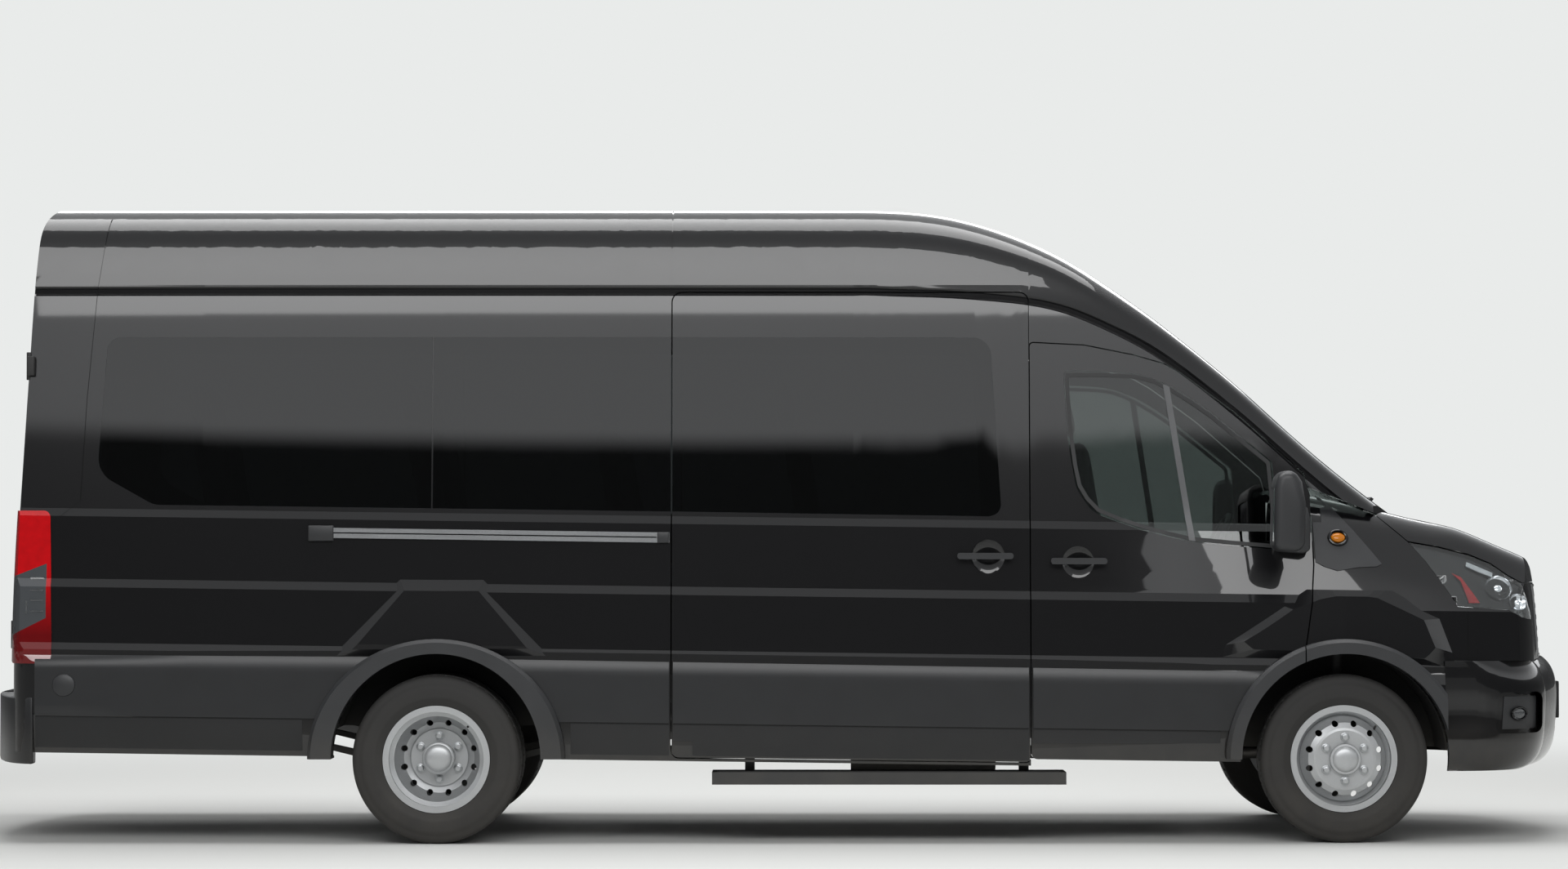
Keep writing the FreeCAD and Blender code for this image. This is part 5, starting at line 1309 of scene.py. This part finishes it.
# %% Wipers, grille frame and plate
# y of the pivot, of the blade's end and of the place where the arm meets it.
WIPERS = [(0.620, 0.050, 0.340), (-0.030, -0.600, -0.310)]
PIVOT = [(17.0, -18.0), (17.0, 16.0), (13.0, 22.0), (0.0, 24.0)]
BLADE_LIFT = 4.0 * MM
BLADE_LOW, BLADE_HIGH = 1.416, 1.424
BLADE_PAST_PIVOT = 0.030
BLADE_TALL = 12.0 * MM
ARM_TALL = 7.0 * MM
AHEAD = 4.5
BACKWARDS = Vector((-1.0, 0.0, 0.0))
screen = nodes["windscreen"]
for number, (y_pivot, y_end, y_middle) in enumerate(WIPERS, 1):
    y_start = y_pivot - BLADE_PAST_PIVOT
    line = [(y_start, BLADE_LOW), (y_end, BLADE_LOW), (y_end, BLADE_HIGH), (y_start, BLADE_HIGH)]
    blade = laid(line, screen, BLADE_LIFT, BLADE_TALL, start=AHEAD, cell=0.05, axis="X")
    line = [(y_pivot, 1.394), (y_middle, 1.418), (y_middle - 0.004, 1.426), (y_pivot - 0.006, 1.404)]
    arm = laid(line, screen, BLADE_LIFT + BLADE_TALL, ARM_TALL, start=AHEAD, cell=0.05, axis="X")
    place, normal = screen.ray_cast(Vector((AHEAD, y_pivot, 1.398)), BACKWARDS)[1:3]
    pivot = oval(PIVOT, place, normal, 1.0)
    settle(joined([blade, arm, pivot]), "wiper_%d" % number, skirt_plastic, "body", 30.0)

FRAME_LINE = [(-0.553, 0.760), (0.553, 0.760), (0.553, 1.064), (-0.553, 1.064)]
bright = laid(
    FRAME_LINE, nodes["grille"], 0.3 * MM, 3.0 * MM, frame_width=9.0 * MM, start=AHEAD, cell=0.03, axis="X")
settle(bright, "grille_frame", chrome, "body")
face_x = nodes["front_bumper"].ray_cast(Vector((AHEAD, 0.0, 0.560)), BACKWARDS)[1].x
sign = block((face_x - 0.020, -0.158, 0.485), (face_x + 0.007, 0.158, 0.643), 3.0 * MM)
settle(sign, "plate_holder_front", skirt_plastic, "body")
sign = block((face_x + 0.006, -0.150, 0.493), (face_x + 0.009, 0.150, 0.635), 1.0 * MM)
settle(sign, "number_plate_front", plate_enamel, "body")
print("front fittings placed")

# %% Ribs on the side step and a fuel flap
RIB_PITCH = 0.018
step_high = max(v.co.z for v in nodes["side_step"].data.vertices if v.co.y < -0.86 and v.co.x > -0.25)
ribs = []
for k in range(8):
    y0, y1 = -1.002 + RIB_PITCH * k, -0.995 + RIB_PITCH * k
    ribs.append(block((-0.262, y0, step_high - 0.001), (1.153, y1, step_high + 0.0022), 1.0 * MM))
settle(joined(ribs), "side_step_ribs", skirt_plastic, "body")
FLAP = [(0.800, 0.960), (0.970, 0.960), (0.970, 1.090), (0.800, 1.090)]
# The gap round the flap is a dark matt ring laid on the panel: a painted shadow in the gap.
GAP = [(0.796, 0.956), (0.974, 0.956), (0.974, 1.094), (0.796, 1.094)]
gap = laid(GAP, nodes["side_panel_left"], 0.2 * MM, 0.6 * MM, frame_width=5.0 * MM, start=BESIDE, cell=0.05)
settle(gap, "fuel_flap_painted_shadow_gap", skirt_plastic, "body")
flap = laid(FLAP, nodes["side_panel_left"], 0.2 * MM, 1.4 * MM, start=BESIDE, cell=0.05)
settle(flap, "fuel_flap", enamel, "body")
print("step ribs", round(step_high, 4))

# %% [markdown]
# ## Seats
# A van seat is foam under a sewn cloth cover: a crowned cushion, a taller backrest with side
# bolsters and a head restraint on two posts, all on a painted frame. Foam that pushes a cover tight
# is what cloth under pressure does, so one cushion and one backrest are swollen by a Cloth
# simulation, and each place gets its own copy, as wide as its seat. The sewn channels come after it.

# %% Swell one cushion and one backrest
PLACE_WIDTH = 0.44
PAD_VOXEL = 0.013
PAD_PRESSURE = 4.0
PAD_MOST = 0.014
PAD_FRAMES = 20
SEAM_FROM = 0.02


def swollen(piece):
    """Remeshes a pad evenly and lets pressure swell its cover; no point moves far."""
    apply_modifiers(piece)
    even = piece.modifiers.new("even", "REMESH")
    even.mode = "VOXEL"
    even.voxel_size = PAD_VOXEL
    bpy.ops.object.modifier_apply(modifier="even")
    before = [v.co.copy() for v in piece.data.vertices]
    cover = piece.modifiers.new("cover", "CLOTH")
    cover.settings.use_pressure = True
    cover.settings.uniform_pressure_force = PAD_PRESSURE
    cover.settings.effector_weights.gravity = 0.0
    cover.point_cache.frame_start = 1
    cover.point_cache.frame_end = PAD_FRAMES
    for step in range(1, PAD_FRAMES + 1):
        bpy.context.scene.frame_set(step)
    bpy.ops.object.modifier_apply(modifier="cover")
    bpy.context.scene.frame_set(1)
    for vertex, old in zip(piece.data.vertices, before):
        moved = vertex.co - old
        if moved.length > PAD_MOST:
            vertex.co = old + moved.normalized() * PAD_MOST
    return piece


def sewn(piece, across, along, depth=0.007, width=0.016):
    """Pulls sewn channels into a pad's face: lines at places across Y and along its length."""
    for vertex in piece.data.vertices:
        pull = 0.0
        for place in across:
            pull = max(pull, 1.0 - abs(vertex.co.y - place) / width)
        for place in along:
            pull = max(pull, 1.0 - abs(vertex.co.x - place) / width)
        if vertex.co.z > SEAM_FROM:
            vertex.co.z -= depth * pull ** 0.5


half = PLACE_WIDTH / 2 - 0.010
SEWN_ACROSS = (-0.13, 0.13)
cushion_pad = swollen(block((-0.455, -half, 0.008), (-0.008, half, 0.100), 0.035, 4))
sewn(cushion_pad, SEWN_ACROSS, (-0.14, -0.30))
back_pad = swollen(block((0.010, -half, -0.036), (0.600, half, 0.036), 0.032, 4))
sewn(back_pad, SEWN_ACROSS, (0.16, 0.38))
head_pad = swollen(block((0.0, -0.115, -0.026), (0.165, 0.115, 0.026), 0.024, 4))
pads = (cushion_pad, back_pad, head_pad)
print("pads", [len(pad.data.polygons) for pad in pads])

# %% Seats from the pads
CAB_FLOOR = 0.640
LOAD_FLOOR = 0.700
BACK_LEAN = math.radians(90.0 + 10.4)
CUSHION_UP = 0.334
BACK_PLACE = (-0.462, 0.440)
HEAD_PLACE = (-0.588, 1.046)
LEG_PLACES = (-0.400, -0.120)
LEG_DEEP = 0.028
LEG_FOOT, LEG_TOP = 0.002, 0.300
LEG_INSET = 0.060
PAN_INSET = 0.012
PAN_FOOT, PAN_TOP = 0.292, 0.332
# Name, x of the cushion's front edge, y from and to, floor, places and the legs' y range.
SEATS = [
    ("driver", 1.800, 0.200, 0.690, CAB_FLOOR, 1, None),
    ("cab_bench", 1.800, -0.845, 0.060, CAB_FLOOR, 2, None),
]
for row, x in enumerate((0.620, -0.170, -0.960), 1):
    SEATS.append(("row_%d_left" % row, x, 0.060, 0.840, LOAD_FLOOR, 2, (0.120, 0.540)))
    SEATS.append(("row_%d_right" % row, x, -0.840, -0.430, LOAD_FLOOR, 1, (-0.540, -0.450)))
SEATS.append(("rear_bench", -1.900, -0.520, 0.520, LOAD_FLOOR, 2, None))


def placed(pad, wide, x, y, z, lean=0.0):
    """Copy of a pad, as wide as its place, turned about the cross axis and set down."""
    twin = twin_of(pad)
    twin.scale = (1.0, wide / PLACE_WIDTH, 1.0)
    twin.rotation_euler = (0.0, -lean, 0.0)
    twin.location = (x, y, z)
    apply_place(twin)
    return twin


replaced = {}
for name, x, y0, y1, floor_z, places, foot in SEATS:
    wide = (y1 - y0) / places
    middles = [y0 + wide * (i + 0.5) for i in range(places)]
    padding = [
        ("seat_cushion_", cushion_pad, wide, x, floor_z + CUSHION_UP, 0.0, 0.8),
        ("seat_back_", back_pad, wide, x + BACK_PLACE[0], floor_z + BACK_PLACE[1], BACK_LEAN, 0.8),
        ("head_restraint_", head_pad, PLACE_WIDTH, x + HEAD_PLACE[0], floor_z + HEAD_PLACE[1], BACK_LEAN, 0.9),
    ]
    for label, pad, pad_wide, pad_x, pad_z, lean, fill in padding:
        soft = joined([placed(pad, pad_wide, pad_x, y, pad_z, lean) for y in middles])
        settle(soft, label + name, cloth, "body", 60.0)
        if pad is cushion_pad:
            replaced.setdefault("front_seats" if floor_z == CAB_FLOOR else "passenger_seats", soft)
    f0, f1 = foot or (y0 + LEG_INSET, y1 - LEG_INSET)
    parts = []
    for leg in LEG_PLACES:
        low = (x + leg, f0, floor_z + LEG_FOOT)
        parts.append(block(low, (x + leg + LEG_DEEP, f1, floor_z + LEG_TOP), 0.006))
    low = (x - 0.455, y0 + PAN_INSET, floor_z + PAN_FOOT)
    parts.append(block(low, (x - 0.020, y1 - PAN_INSET, floor_z + PAN_TOP), 0.010, 3))
    settle(joined(parts), "seat_frame_" + name, chassis_paint, "body")
for pad in pads:
    bpy.data.objects.remove(pad)
for node, piece in replaced.items():
    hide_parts(node)
print("seats", len(SEATS))
